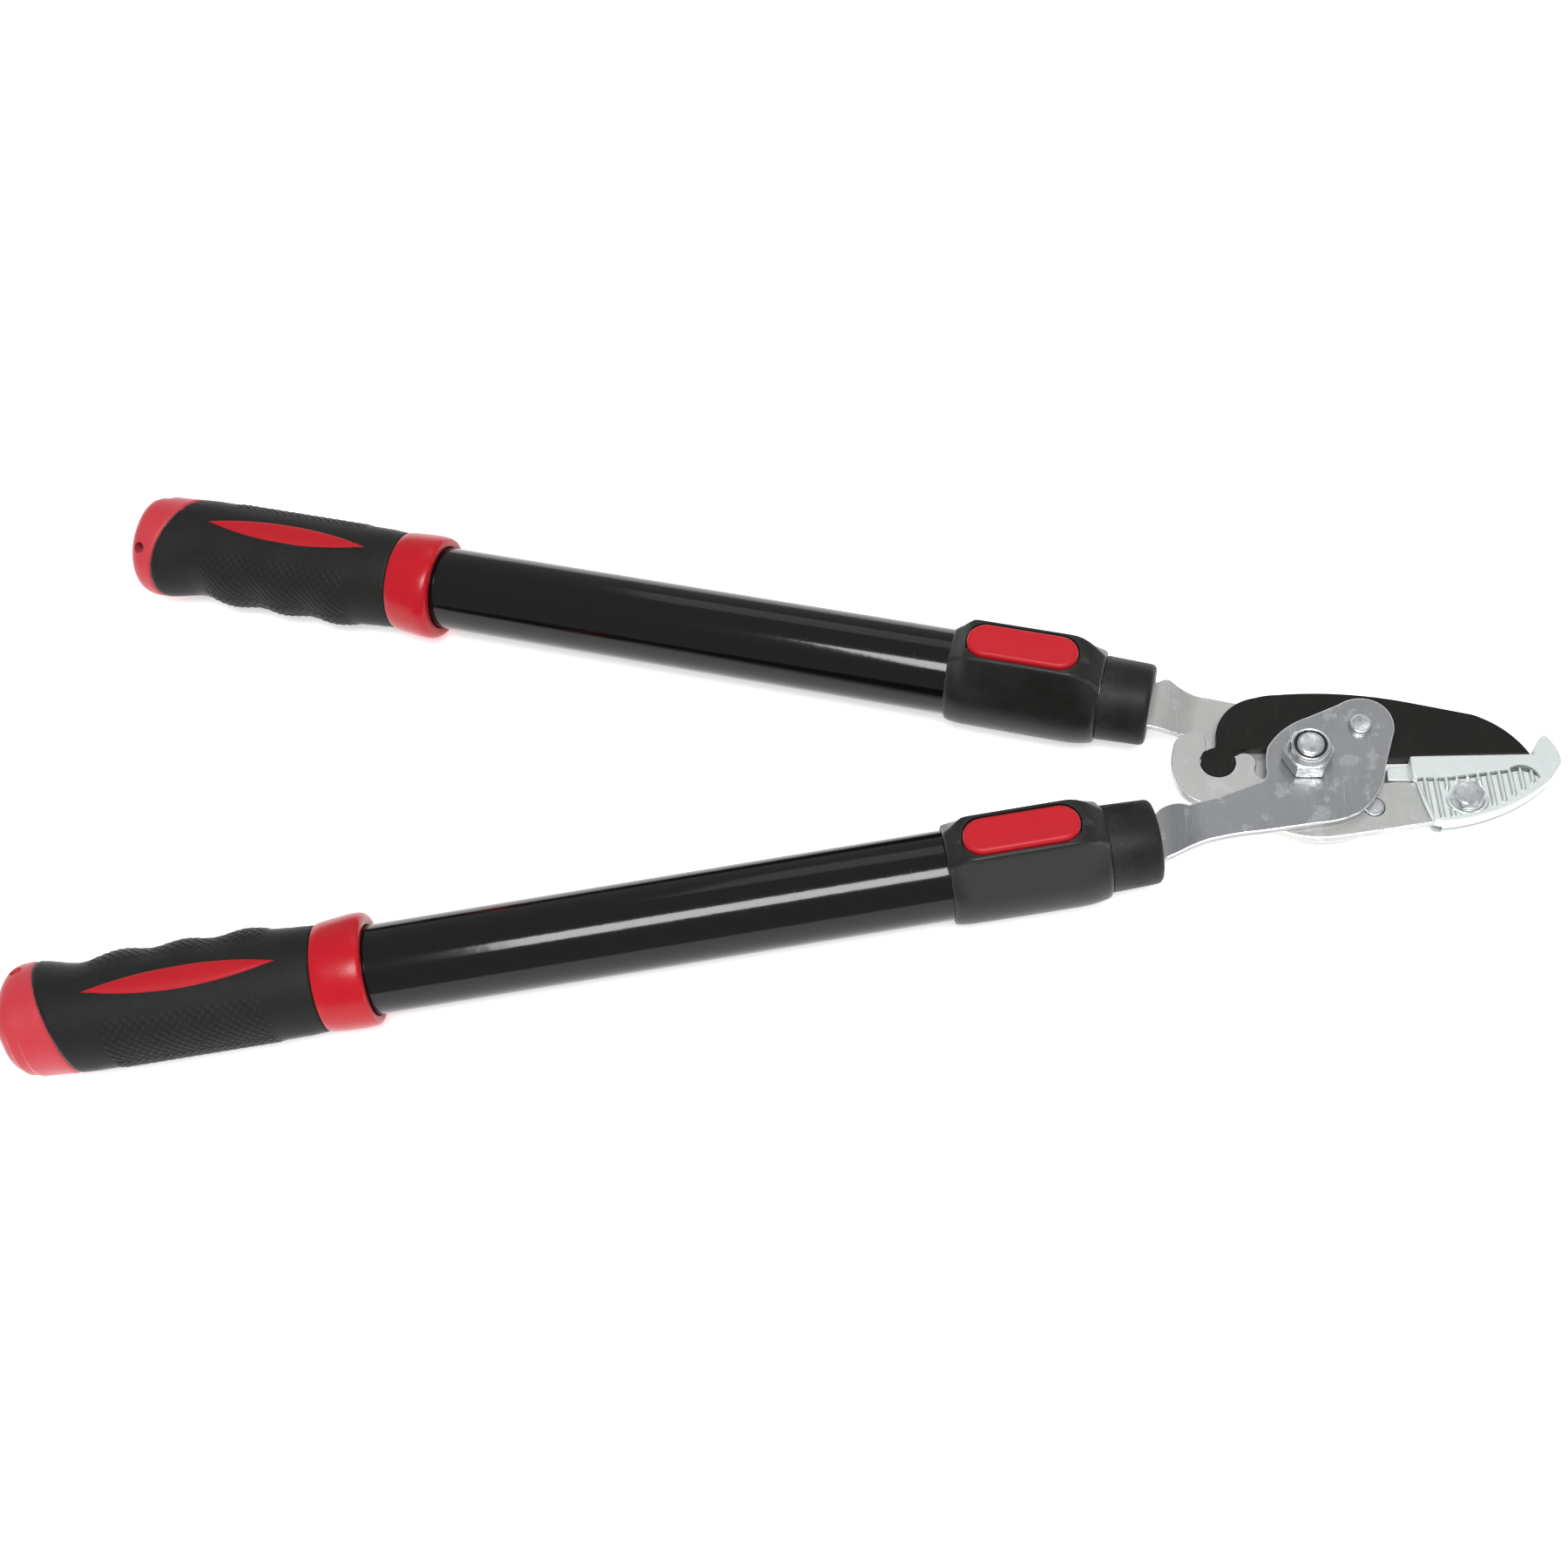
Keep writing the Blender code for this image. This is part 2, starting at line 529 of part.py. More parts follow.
def build_button(label, sleeve, rocker, button_red, steel):
    """The rocker button with its lock peg, the pin it rocks on and its return spring."""
    half = BUTTON_WIDTH / 2.0
    ends = ((BUTTON_FRONT + half, 0.0), (BUTTON_REAR - half, 0.0))
    origin = (BUTTON_PIVOT, 0.0, BUTTON_PIVOT_HEIGHT)
    levels = [(21.3, 0.0), (BUTTON_TOP - 1.4, 0.0), (BUTTON_TOP - 0.4, 0.6), (BUTTON_TOP, 1.8)]
    rings = [[(x, y, z) for x, y in stadium(*ends, half - inset)] for z, inset in levels]
    button = solid(f"{label}_lock_button", loft(rings), rocker, button_red, origin)
    cut(button, hole((PEG_STATION, 0.0), PEG_RADIUS + GAP, 10.0, PEG_SEAT + GAP),
        hole((SPRING_STATION, 0.0), SPRING_RADIUS + 3.0 * GAP, 10.0, SPRING_SEAT))
    cut(button, turned([(-9.0, ROCKER_RADIUS + GAP), (9.0, ROCKER_RADIUS + GAP)], "Y", False, SMALL_ROUND,
                       (BUTTON_PIVOT, BUTTON_PIVOT_HEIGHT)))
    peg = turned([(GROOVE_FLOOR + GAP, PEG_RADIUS - 0.8), (GROOVE_FLOOR + 1.1, PEG_RADIUS), (PEG_SEAT, PEG_RADIUS)],
                 "Z", False, SMALL_ROUND, (PEG_STATION, 0.0))
    solid(f"{label}_lock_peg", peg, rocker, steel, origin)
    pin = turned([(-10.1, ROCKER_RADIUS), (10.1, ROCKER_RADIUS)], "Y", False, SMALL_ROUND,
                 (BUTTON_PIVOT, BUTTON_PIVOT_HEIGHT))
    solid(f"{label}_button_pin", pin, sleeve, steel)
    solid(f"{label}_button_spring", coil(), sleeve, steel)


def coil():
    """The button's coil spring: a round wire carried along a helix."""
    low = POCKET_FLOOR + GAP + SPRING_WIRE
    high = SPRING_SEAT - GAP - SPRING_WIRE
    count = SPRING_TURNS * STEPS_PER_TURN
    rings = []
    for k in range(count + 1):
        turn = math.tau * k / STEPS_PER_TURN
        height = low + (high - low) * k / count
        ring = []
        for side in range(WIRE_SIDES):
            around = math.tau * side / WIRE_SIDES
            reach = SPRING_RADIUS + SPRING_WIRE * math.cos(around)
            ring.append((SPRING_STATION + reach * math.cos(turn), reach * math.sin(turn),
                         height + SPRING_WIRE * math.sin(around)))
        rings.append(ring)
    return loft(rings)


# ---------------------------------------------------------------- grips

def ease(value, low, high):
    t = min(max((value - low) / (high - low), 0.0), 1.0)
    return t * t * (3.0 - 2.0 * t)


def finger_swell(station):
    """How far the grip's inner side stands out: three finger waves, then the flared butt."""
    zone = ease(station, 394.0, 406.0) - ease(station, 470.0, 482.0)
    wave = 1.9 + 0.8 * math.cos(math.tau * (station - FINGER_FIRST) / FINGER_PITCH)
    return zone * wave + 3.2 * ease(station, 478.0, 498.0)


def grip_ring(station, radius, swell, inner):
    """A round section, swollen towards the other handle."""
    ring = []
    for k in range(ROUND):
        turn = math.tau * k / ROUND
        reach = radius + swell * max(0.0, inner * math.cos(turn)) ** 2
        ring.append((station, reach * math.cos(turn), reach * math.sin(turn)))
    return ring


def lens(extra):
    """The pointed oval of the inlay, grown by extra."""
    middle = (INLAY_FRONT + INLAY_REAR) / 2.0
    half = INLAY_HALF + extra
    return outline((INLAY_FRONT - extra, 0.0), ((middle, -half), (INLAY_REAR + extra, 0.0)),
                   ((middle, half), (INLAY_FRONT - extra, 0.0)))[:-1]


def build_grip_core(name, parent, red, inner):
    """The hard inner grip: front collar, thin sleeve, top inlay and end cap in one moulding."""
    bore = TUBE_RADIUS + GAP
    sections = [(GRIP_REAR - 9.4, bore, 0.0), (GRIP_FRONT, bore, 0.0), (GRIP_FRONT, 19.0, 0.0),
                (GRIP_FRONT + 1.4, 20.9, 0.3), (GRIP_FRONT + 4.5, 21.6, 0.5), (GRIP_FRONT + 13.0, 21.4, 0.5),
                (COLLAR_REAR, 20.7, 0.4), (COLLAR_REAR, SLEEVE_RADIUS, 0.0), (CAP_FRONT, SLEEVE_RADIUS, 0.0),
                (CAP_FRONT, GRIP_RADIUS, finger_swell(CAP_FRONT)), (497.0, 21.5, 3.2), (504.0, 21.0, 2.6),
                (509.0, 19.4, 1.8), (512.4, 16.4, 1.2), (514.2, 11.5, 0.6), (GRIP_REAR, 5.5, 0.0)]
    core = solid(name, loft([grip_ring(*section, inner) for section in sections]), parent, red)
    combine(core, "UNION", prism(lens(0.0), SLEEVE_RADIUS - 0.9, GRIP_RADIUS + 0.4))
    reach = 2.0 * GRIP_RADIUS
    across = Vector((0.0, inner * math.sin(HANG_TILT), math.cos(HANG_TILT)))
    drill = turned([(-reach, HANG_RADIUS), (reach, HANG_RADIUS)], "Z", False, SMALL_ROUND)
    turn = Vector((0.0, 0.0, 1.0)).rotation_difference(across).to_matrix()
    bmesh.ops.rotate(drill, verts=drill.verts, matrix=turn)
    bmesh.ops.translate(drill, verts=drill.verts, vec=(HANG_STATION, 0.0, 0.0))
    return cut(core, drill)


def build_grip_cover(name, parent, rubber, inner):
    """The soft sleeve over the core, with an opening for the inlay."""
    front = COLLAR_REAR + GAP
    rear = CAP_FRONT - GAP
    rings = []
    for k in range(COVER_RINGS):
        station = front + (rear - front) * k / (COVER_RINGS - 1)
        radius = GRIP_RADIUS - 0.6 * (1.0 - ease(station, front, front + 8.0))
        rings.append(grip_ring(station, radius, finger_swell(station), inner))
    bore = SLEEVE_RADIUS + GAP
    rings += [grip_ring(rear, bore, 0.0, inner), grip_ring(front, bore, 0.0, inner)]
    cover = solid(name, loft(rings, closed=True), parent, rubber)
    return cut(cover, prism(lens(GAP), 5.0, 40.0))


# ---------------------------------------------------------------- assembly

def build_handle(label, parent, location, side, looks):
    """Everything on one handle. The tube's frame slides along its X, and the button rocks about Y."""
    handle = frame(f"{label}_handle", parent, location, math.pi - side * HANDLE_ANGLE)
    build_ferrule(f"{label}_ferrule", handle, looks["plastic"])
    build_inner_tube(f"{label}_inner_tube", handle, looks["inner"])
    build_shank_pin(f"{label}_shank_pin", handle, looks["zinc"])
    build_slide_bush(f"{label}_slide_bush", handle, looks["nylon"])
    sleeve = frame(f"{label}_sleeve", handle)
    build_outer_tube(f"{label}_outer_tube", sleeve, looks["lacquer"])
    build_lock_housing(f"{label}_lock_housing", sleeve, looks["plastic"])
    build_grip_core(f"{label}_grip_core", sleeve, looks["grip_red"], side)
    build_grip_cover(f"{label}_grip_cover", sleeve, looks["rubber"], side)
    rocker = frame(f"{label}_button", sleeve, (BUTTON_PIVOT, 0.0, BUTTON_PIVOT_HEIGHT))
    build_button(label, sleeve, rocker, looks["button_red"], looks["zinc"])


def build():
    for old in list(bpy.data.objects):
        bpy.data.objects.remove(old)
    looks = {
        "zinc": finish("zinc", (0.62, 0.64, 0.66), 0.32, 1.0),
        "arm": finish("plated_steel", (0.56, 0.57, 0.6), 0.36, 1.0),
        "blade": finish("coated_blade", (0.02, 0.02, 0.018), 0.55),
        "alloy": finish("cast_alloy", (0.7, 0.73, 0.71), 0.5, 0.9),
        "plastic": finish("black_plastic", (0.018, 0.019, 0.017), 0.5),
        "lacquer": finish("black_lacquer", (0.004, 0.004, 0.004), 0.12),
        "inner": finish("drawn_aluminium", (0.6, 0.6, 0.6), 0.3, 1.0),
        "nylon": finish("nylon", (0.03, 0.03, 0.035), 0.5),
        "rubber": finish("grip_rubber", (0.02, 0.021, 0.021), 0.75),
        "grip_red": finish("grip_red", (0.6, 0.03, 0.04), 0.4),
        "button_red": finish("button_red", (0.6, 0.02, 0.03), 0.3),
    }
    head = frame("anvil_head", None, (HEAD_X, HEAD_Y, AXIS_HEIGHT))
    lever = frame("lever", head, (*PIVOT, 0.0))
    swing = frame("blade_swing", head, (*BALL, 0.0))
    build_upper_arm(head, looks["arm"])
    build_anvil_plate(head, looks["arm"])
    build_anvil(head, looks["alloy"])
    build_pivot(head, looks["zinc"], looks["nylon"])
    build_plate_rivet(head, looks["zinc"])
    build_anvil_bolt(head, looks["zinc"])
    build_blade(swing, looks["blade"])
    build_lever_arm(lever, looks["arm"])
    build_drive_pin(lever, looks["zinc"])
    foot_x, foot_y = handle_point(1, 0.0, 0.0)
    build_handle("upper", head, (foot_x, foot_y, 0.0), 1, looks)
    build_handle("lower", lever, (foot_x - PIVOT[0], -foot_y - PIVOT[1], 0.0), -1, looks)


build()
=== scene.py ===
# %% [markdown]
# # Telescopic anvil loppers
# The loppers lie flat with the jaws shut. A black coated blade swings down on a cast anvil, and two plated steel
# arms carry it. The engineering model already holds every part, size and joint. This lesson gives each visible
# part its fine surface: rounded edges, ribs, knurling, plating, moulded grain and lacquer.

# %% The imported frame
import json
import math

import bmesh
import bpy
from mathutils import Matrix, Vector


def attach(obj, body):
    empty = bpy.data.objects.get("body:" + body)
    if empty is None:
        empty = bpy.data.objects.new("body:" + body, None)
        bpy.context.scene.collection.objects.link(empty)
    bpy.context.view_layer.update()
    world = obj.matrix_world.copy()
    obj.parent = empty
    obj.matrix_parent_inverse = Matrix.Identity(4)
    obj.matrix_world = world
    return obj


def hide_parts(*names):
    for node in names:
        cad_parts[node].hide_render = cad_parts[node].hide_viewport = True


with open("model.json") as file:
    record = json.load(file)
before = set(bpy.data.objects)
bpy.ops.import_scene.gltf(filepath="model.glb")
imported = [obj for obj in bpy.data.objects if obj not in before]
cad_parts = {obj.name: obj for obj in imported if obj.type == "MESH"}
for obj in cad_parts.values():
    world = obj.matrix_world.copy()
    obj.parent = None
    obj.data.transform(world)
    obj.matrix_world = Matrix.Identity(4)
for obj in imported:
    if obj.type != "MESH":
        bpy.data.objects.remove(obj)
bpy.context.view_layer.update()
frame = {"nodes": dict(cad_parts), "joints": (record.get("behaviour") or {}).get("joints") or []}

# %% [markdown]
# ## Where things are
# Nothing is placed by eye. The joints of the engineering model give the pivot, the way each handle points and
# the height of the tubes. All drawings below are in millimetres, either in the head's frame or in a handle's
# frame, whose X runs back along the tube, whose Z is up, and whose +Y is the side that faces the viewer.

MM = 0.001
joints = {joint["name"]: joint for joint in frame["joints"]}

PIVOT = (0.0, 3.0)
ROCKER = (116.0, 23.0)
SIDES = {"upper": 1, "lower": -1}


def head_frame():
    """The head's frame: X to the tip, Y to the upper handle, origin between the handle axes."""
    pivot = Vector(joints["lever_hinge"]["pos_m"])
    return Matrix.Translation(pivot - Vector((*PIVOT, 0.0)) * MM)


def handle_frame(label):
    along = Vector(joints[f"{label}_slide"]["axis"]).normalized()
    up = Vector((0.0, 0.0, 1.0))
    rocker = Vector(joints[f"{label}_rocker"]["pos_m"])
    place = Matrix((along, up.cross(along), up)).transposed().to_4x4()
    place.translation = rocker - (along * ROCKER[0] + up * ROCKER[1]) * MM
    return place


head = head_frame()
handles = {label: handle_frame(label) for label in SIDES}
print("head origin", [round(value, 4) for value in head.translation])

# %% [markdown]
# ## Drawing outlines
# Sheet metal is drawn as a closed line of straight runs and arcs. An arc is given by its middle and its end, as
# a draughtsman would do with three points. A fillet rounds every corner of a line by a short curve, because no
# real edge is perfectly sharp, and a rounded edge catches a thin line of light.

# %% Outline helpers
def arc_through(start, middle, end, steps=16):
    """Points of the arc from start over middle to end, without start itself."""
    (ax, ay), (bx, by), (cx, cy) = start, middle, end
    scale = 2.0 * (ax * (by - cy) + bx * (cy - ay) + cx * (ay - by))
    a2, b2, c2 = ax * ax + ay * ay, bx * bx + by * by, cx * cx + cy * cy
    centre_x = (a2 * (by - cy) + b2 * (cy - ay) + c2 * (ay - by)) / scale
    centre_y = (a2 * (cx - bx) + b2 * (ax - cx) + c2 * (bx - ax)) / scale
    radius = math.hypot(ax - centre_x, ay - centre_y)
    first = math.atan2(ay - centre_y, ax - centre_x)
    sweep = (math.atan2(cy - centre_y, cx - centre_x) - first) % math.tau
    through = (math.atan2(by - centre_y, bx - centre_x) - first) % math.tau
    if through > sweep:
        sweep -= math.tau
    angles = [first + sweep * k / steps for k in range(1, steps + 1)]
    return [(centre_x + radius * math.cos(a), centre_y + radius * math.sin(a)) for a in angles]


def arc_about(centre, radius, first, last, steps=32):
    """Points of the arc about centre from angle first to angle last, in degrees."""
    angles = [math.radians(first + (last - first) * k / steps) for k in range(steps + 1)]
    return [(centre[0] + radius * math.cos(a), centre[1] + radius * math.sin(a)) for a in angles]


def outline(*strokes):
    """A closed outline of points, lists of points, and (middle, end) pairs, which are arcs over the middle."""
    points = []
    for stroke in strokes:
        if isinstance(stroke, list):
            points += stroke
        elif isinstance(stroke[0], tuple):
            points += arc_through(points[-1], *stroke)
        else:
            points.append(stroke)
    return points


def circle(centre, radius, steps=64):
    return arc_about(centre, radius, 0.0, 360.0 * (steps - 1) / steps, steps - 1)


def stadium(start, end, half_width, steps=24):
    """A slot with round ends, between the two end centres."""
    heading = math.degrees(math.atan2(end[1] - start[1], end[0] - start[0]))
    far = arc_about(end, half_width, heading - 90.0, heading + 90.0, steps)
    return far + arc_about(start, half_width, heading + 90.0, heading + 270.0, steps)


def fillet(points, radius, steps=5):
    """A closed line with each corner rounded by up to radius. The gentle turns of an arc stay as they are."""
    made = []
    for k, corner in enumerate(points):
        here = Vector(corner)
        back = Vector(points[k - 1]) - here
        ahead = Vector(points[(k + 1) % len(points)]) - here
        reach = min(radius, 0.45 * back.length, 0.45 * ahead.length)
        if back.angle(-ahead, 0.0) < 0.2:
            made.append(tuple(here))
            continue
        start = here + back.normalized() * reach
        end = here + ahead.normalized() * reach
        for step in range(steps + 1):
            t = step / steps
            made.append(tuple(start * (1 - t) ** 2 + here * 2 * t * (1 - t) + end * t ** 2))
    return made


def inset(points, distance):
    """The outline moved inwards by distance, mitred at its corners. The outline runs anticlockwise."""
    area = sum(a[0] * b[1] - b[0] * a[1] for a, b in zip(points, points[1:] + points[:1]))
    turn = 1.0 if area > 0.0 else -1.0
    made = []
    for k, corner in enumerate(points):
        here = Vector(corner)
        before = (here - Vector(points[k - 1])).normalized()
        after = (Vector(points[(k + 1) % len(points)]) - here).normalized()
        inward = Vector((-before.y - after.y, before.x + after.x)) * turn
        inward = inward / max(inward.length_squared / 2.0, 0.6)
        made.append(tuple(here + inward * distance))
    return made


print("a rounded square has", len(fillet([(0, 0), (1, 0), (1, 1), (0, 1)], 0.1)), "points")

# %% [markdown]
# ## Turning lines into solids
# A loft joins rings of points, which makes plates with rolled edges, lathe work and mouldings alike. A slab is
# an outline stacked at several heights with a small inset at each, so its edges are round by themselves. The
# bands where the inset changes get the second material, which paints a plate's edges brighter than its face:
# partly worn plating, partly a painted highlight.

# %% Mesh helpers
def loft(rings, closed=False, edge_bands=()):
    """Rings of points joined in turn: capped at both ends, or closed on themselves."""
    bm = bmesh.new()
    made = [[bm.verts.new(point) for point in ring] for ring in rings]
    pairs = list(zip(made, made[1:]))
    if closed:
        pairs.append((made[-1], made[0]))
    else:
        bm.faces.new(made[0])
        bm.faces.new(made[-1])
    for band, (one, two) in enumerate(pairs):
        for k in range(len(one)):
            after = (k + 1) % len(one)
            face = bm.faces.new((one[k], one[after], two[after], two[k]))
            face.material_index = 1 if band in edge_bands else 0
    return bm


def rolled(low, high, radius, steps=4):
    """Levels (height, inset) of a plate whose two edges are rolled to a radius."""
    turns = [math.pi / 2 * k / steps for k in range(steps + 1)]
    lower = [(low + radius * (1 - math.sin(t)), radius * (1 - math.cos(t))) for t in reversed(turns)]
    upper = [(high - radius * (1 - math.sin(t)), radius * (1 - math.cos(t))) for t in turns]
    return lower + upper


def slab(points, levels):
    rings = [[(x, y, z) for x, y in inset(points, distance)] for z, distance in levels]
    bands = [k for k in range(len(levels) - 1) if levels[k][1] != levels[k + 1][1]]
    return loft(rings, edge_bands=bands)


def prism(points, low, high):
    return loft([[(x, y, low) for x, y in points], [(x, y, high) for x, y in points]])


def full_circle(count):
    return [math.tau * k / count for k in range(count)]


def ring_at(station, radii, turns):
    """A ring of points about a handle's axis, from a radius for each angle."""
    return [(station, radius * math.cos(turn), radius * math.sin(turn)) for radius, turn in zip(radii, turns)]


def drawn_in(ring, radius):
    """The same ring with all its points at one radius."""
    return [(x, radius * y / math.hypot(y, z), radius * z / math.hypot(y, z)) for x, y, z in ring]


def turned(profile, along, steps, centre, reach):
    """Rings of (station, radius) points about an axis. reach may change a radius with the angle."""
    rings = []
    for station, radius in profile:
        ring = []
        for turn in full_circle(steps):
            far = reach(station, radius, turn) if reach else radius
            one, two = centre[0] + far * math.cos(turn), centre[1] + far * math.sin(turn)
            ring.append({"X": (station, one, two), "Y": (one, station, two), "Z": (one, two, station)}[along])
        rings.append(ring)
    return rings


def lathe(profile, along="X", steps=96, centre=(0.0, 0.0), reach=None):
    """A ring-shaped piece from a closed profile."""
    return loft(turned(profile, along, steps, centre, reach), closed=True)


def spun(profile, along="X", steps=96, centre=(0.0, 0.0), reach=None):
    """A piece without a bore, from a profile with flat ends."""
    return loft(turned(profile, along, steps, centre, reach))


def to_mesh(name, bm, materials=()):
    bmesh.ops.recalc_face_normals(bm, faces=bm.faces)
    bmesh.ops.scale(bm, verts=bm.verts, vec=(MM, MM, MM))
    if len(materials) < 2:
        for face in bm.faces:
            face.material_index = 0
    mesh = bpy.data.meshes.new(name)
    bm.to_mesh(mesh)
    bm.free()
    mesh.shade_smooth()
    for material in materials:
        mesh.materials.append(material)
    return mesh


CUT_CREASE = 35.0


def cut(target, *tools):
    """Take closed shapes, drawn in the target's frame, out of it. Edges sharper than the crease stay sharp."""
    for bm in tools:
        tool = bpy.data.objects.new("tool", to_mesh("tool", bm))
        bpy.context.scene.collection.objects.link(tool)
        tool.matrix_world = target.matrix_world
        boolean = target.modifiers.new("cut", "BOOLEAN")
        boolean.operation = "DIFFERENCE"
        boolean.solver = "EXACT"
        boolean.use_self = True
        boolean.object = tool
        bpy.context.view_layer.update()
        result = bpy.data.meshes.new_from_object(target.evaluated_get(bpy.context.evaluated_depsgraph_get()))
        target.modifiers.clear()
        target.data = result
        bpy.data.objects.remove(tool)
    target.data.set_sharp_from_angle(angle=math.radians(CUT_CREASE))


def piece(name, bm, place, body, stands_for, slot, *materials, crease=40.0):
    """A finished piece on its frame: it rides on a body, and the nodes that it refines are hidden."""
    made = bpy.data.objects.new(name, to_mesh(name, bm, materials))
    bpy.context.scene.collection.objects.link(made)
    made.matrix_world = place
    made.data.set_sharp_from_angle(angle=math.radians(crease))
    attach(made, body)
    if stands_for:
        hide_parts(*stands_for)
    print(name, len(made.data.polygons), "faces, rides on", body)
    return made


def weighted(target):
    """Normals that follow the large faces, so that a flat plate looks flat up to its rolled edge."""
    modifier = target.modifiers.new("weighted", "WEIGHTED_NORMAL")
    modifier.keep_sharp = True
    modifier.weight = 100

# %% [markdown]
# ## Shared surface effects
# Most finishes here need the same few things: a fine grain, blotches, hairline scratches, dust that settles on
# top, and wear on exposed edges. Each is a node group with named inputs, built once. The groups only put out
# numbers between 0 and 1 or heights, and each material decides what to do with them.

# %% Building node groups
def new_group(name, inputs, output):
    """A node group with float inputs {name: default} and one float output."""
    tree = bpy.data.node_groups.new(name, "ShaderNodeTree")
    for label, default in inputs.items():
        socket = tree.interface.new_socket(label, in_out="INPUT", socket_type="NodeSocketFloat")
        socket.default_value = default
    tree.interface.new_socket(output, in_out="OUTPUT", socket_type="NodeSocketFloat")
    return tree, tree.nodes.new("NodeGroupInput"), tree.nodes.new("NodeGroupOutput")


def node(tree, kind, settings=None, **values):
    """A node with its settings, and its inputs set to a number or linked to a socket."""
    made = tree.nodes.new(kind)
    for key, value in (settings or {}).items():
        setattr(made, key, value)
    for key, value in values.items():
        socket = made.inputs[int(key[1:])] if key[0] == "i" and key[1:].isdigit() else made.inputs[key]
        if isinstance(value, bpy.types.NodeSocket):
            tree.links.new(value, socket)
        else:
            socket.default_value = value
    return made


def math_node(tree, operation, one, two=0.0):
    return node(tree, "ShaderNodeMath", {"operation": operation}, i0=one, i1=two).outputs[0]


def remap(tree, value, low, high, to_low=0.0, to_high=1.0):
    made = node(tree, "ShaderNodeMapRange", None, Value=value)
    for label, bound in (("From Min", low), ("From Max", high), ("To Min", to_low), ("To Max", to_high)):
        if isinstance(bound, bpy.types.NodeSocket):
            tree.links.new(bound, made.inputs[label])
        else:
            made.inputs[label].default_value = bound
    return made.outputs["Result"]


def noise(tree, place, scale, detail=2.0, roughness=0.5, distortion=0.0):
    made = node(tree, "ShaderNodeTexNoise", None, Vector=place, Scale=scale, Detail=detail, Roughness=roughness,
                Distortion=distortion)
    return made.outputs["Fac"]


def stretched(tree, place, scale, turn=0.0):
    """Coordinates scaled by three numbers after a turn about Z."""
    made = node(tree, "ShaderNodeMapping", None, Vector=place)
    made.inputs["Rotation"].default_value = (0.0, 0.0, turn)
    made.inputs["Scale"].default_value = scale
    return made.outputs["Vector"]


def object_place(tree):
    return tree.nodes.new("ShaderNodeTexCoord").outputs["Object"]


# %% Grain, blotches, scratches, dust, edge wear and painted crevice shade
def grain_group():
    """Fine mould or cast grain as a height. Scale is in grains per metre."""
    tree, given, out = new_group("Fine Grain", {"Scale": 1500.0, "Coarse Share": 0.3}, "Height")
    place = object_place(tree)
    fine = noise(tree, place, given.outputs["Scale"], 3.0, 0.6)
    coarse = noise(tree, place, math_node(tree, "MULTIPLY", given.outputs["Scale"], 0.22), 2.0)
    share = math_node(tree, "MULTIPLY", coarse, given.outputs["Coarse Share"])
    tree.links.new(math_node(tree, "ADD", fine, share), out.inputs["Height"])
    return tree


def blotch_group():
    """Soft patches with ragged rims, as in zinc plating or handled plastic."""
    tree, given, out = new_group("Blotches", {"Scale": 60.0, "Low": 0.45, "High": 0.65}, "Mask")
    place = object_place(tree)
    patch = noise(tree, place, given.outputs["Scale"], 6.0, 0.62, 0.4)
    mask = remap(tree, patch, given.outputs["Low"], given.outputs["High"])
    tree.links.new(mask, out.inputs["Mask"])
    return tree


def speckle_group():
    """Small scattered spots."""
    tree, given, out = new_group("Speckles", {"Scale": 900.0, "Cover": 0.1}, "Mask")
    place = object_place(tree)
    spots = noise(tree, place, given.outputs["Scale"], 4.0, 0.75)
    where = noise(tree, place, math_node(tree, "MULTIPLY", given.outputs["Scale"], 0.09), 3.0)
    level = math_node(tree, "MULTIPLY", spots, remap(tree, where, 0.35, 0.65))
    low = math_node(tree, "SUBTRACT", 0.62, given.outputs["Cover"])
    mask = remap(tree, level, low, math_node(tree, "ADD", low, 0.08))
    tree.links.new(mask, out.inputs["Mask"])
    return tree


def scratch_group():
    """Hairline scratches: very long thin noise in three directions, cut down to its crests."""
    tree, given, out = new_group("Scratches", {"Density": 1.0, "Cover": 0.06}, "Mask")
    place = object_place(tree)
    total = None
    for turn, width in ((0.3, 2600.0), (1.35, 2100.0), (2.4, 3000.0)):
        lines = noise(tree, stretched(tree, place, (width, width * 0.02, width * 0.05), turn),
                      given.outputs["Density"], 2.0)
        low = math_node(tree, "SUBTRACT", 0.74, given.outputs["Cover"])
        crest = remap(tree, lines, low, math_node(tree, "ADD", low, 0.05))
        total = crest if total is None else math_node(tree, "MAXIMUM", total, crest)
    broken = remap(tree, noise(tree, place, 90.0, 3.0), 0.45, 0.6)
    tree.links.new(math_node(tree, "MULTIPLY", total, broken), out.inputs["Mask"])
    return tree


def dust_group():
    """Dust on faces that look up, thicker in some places."""
    tree, given, out = new_group("Settled Dust", {"Amount": 0.3, "Scale": 140.0}, "Mask")
    up = node(tree, "ShaderNodeSeparateXYZ", None, i0=tree.nodes.new("ShaderNodeNewGeometry").outputs["Normal"])
    lies = remap(tree, up.outputs["Z"], 0.2, 0.95)
    spread = remap(tree, noise(tree, object_place(tree), given.outputs["Scale"], 5.0, 0.7), 0.3, 0.75)
    dust = math_node(tree, "MULTIPLY", lies, spread)
    tree.links.new(math_node(tree, "MULTIPLY", dust, given.outputs["Amount"]), out.inputs["Mask"])
    return tree


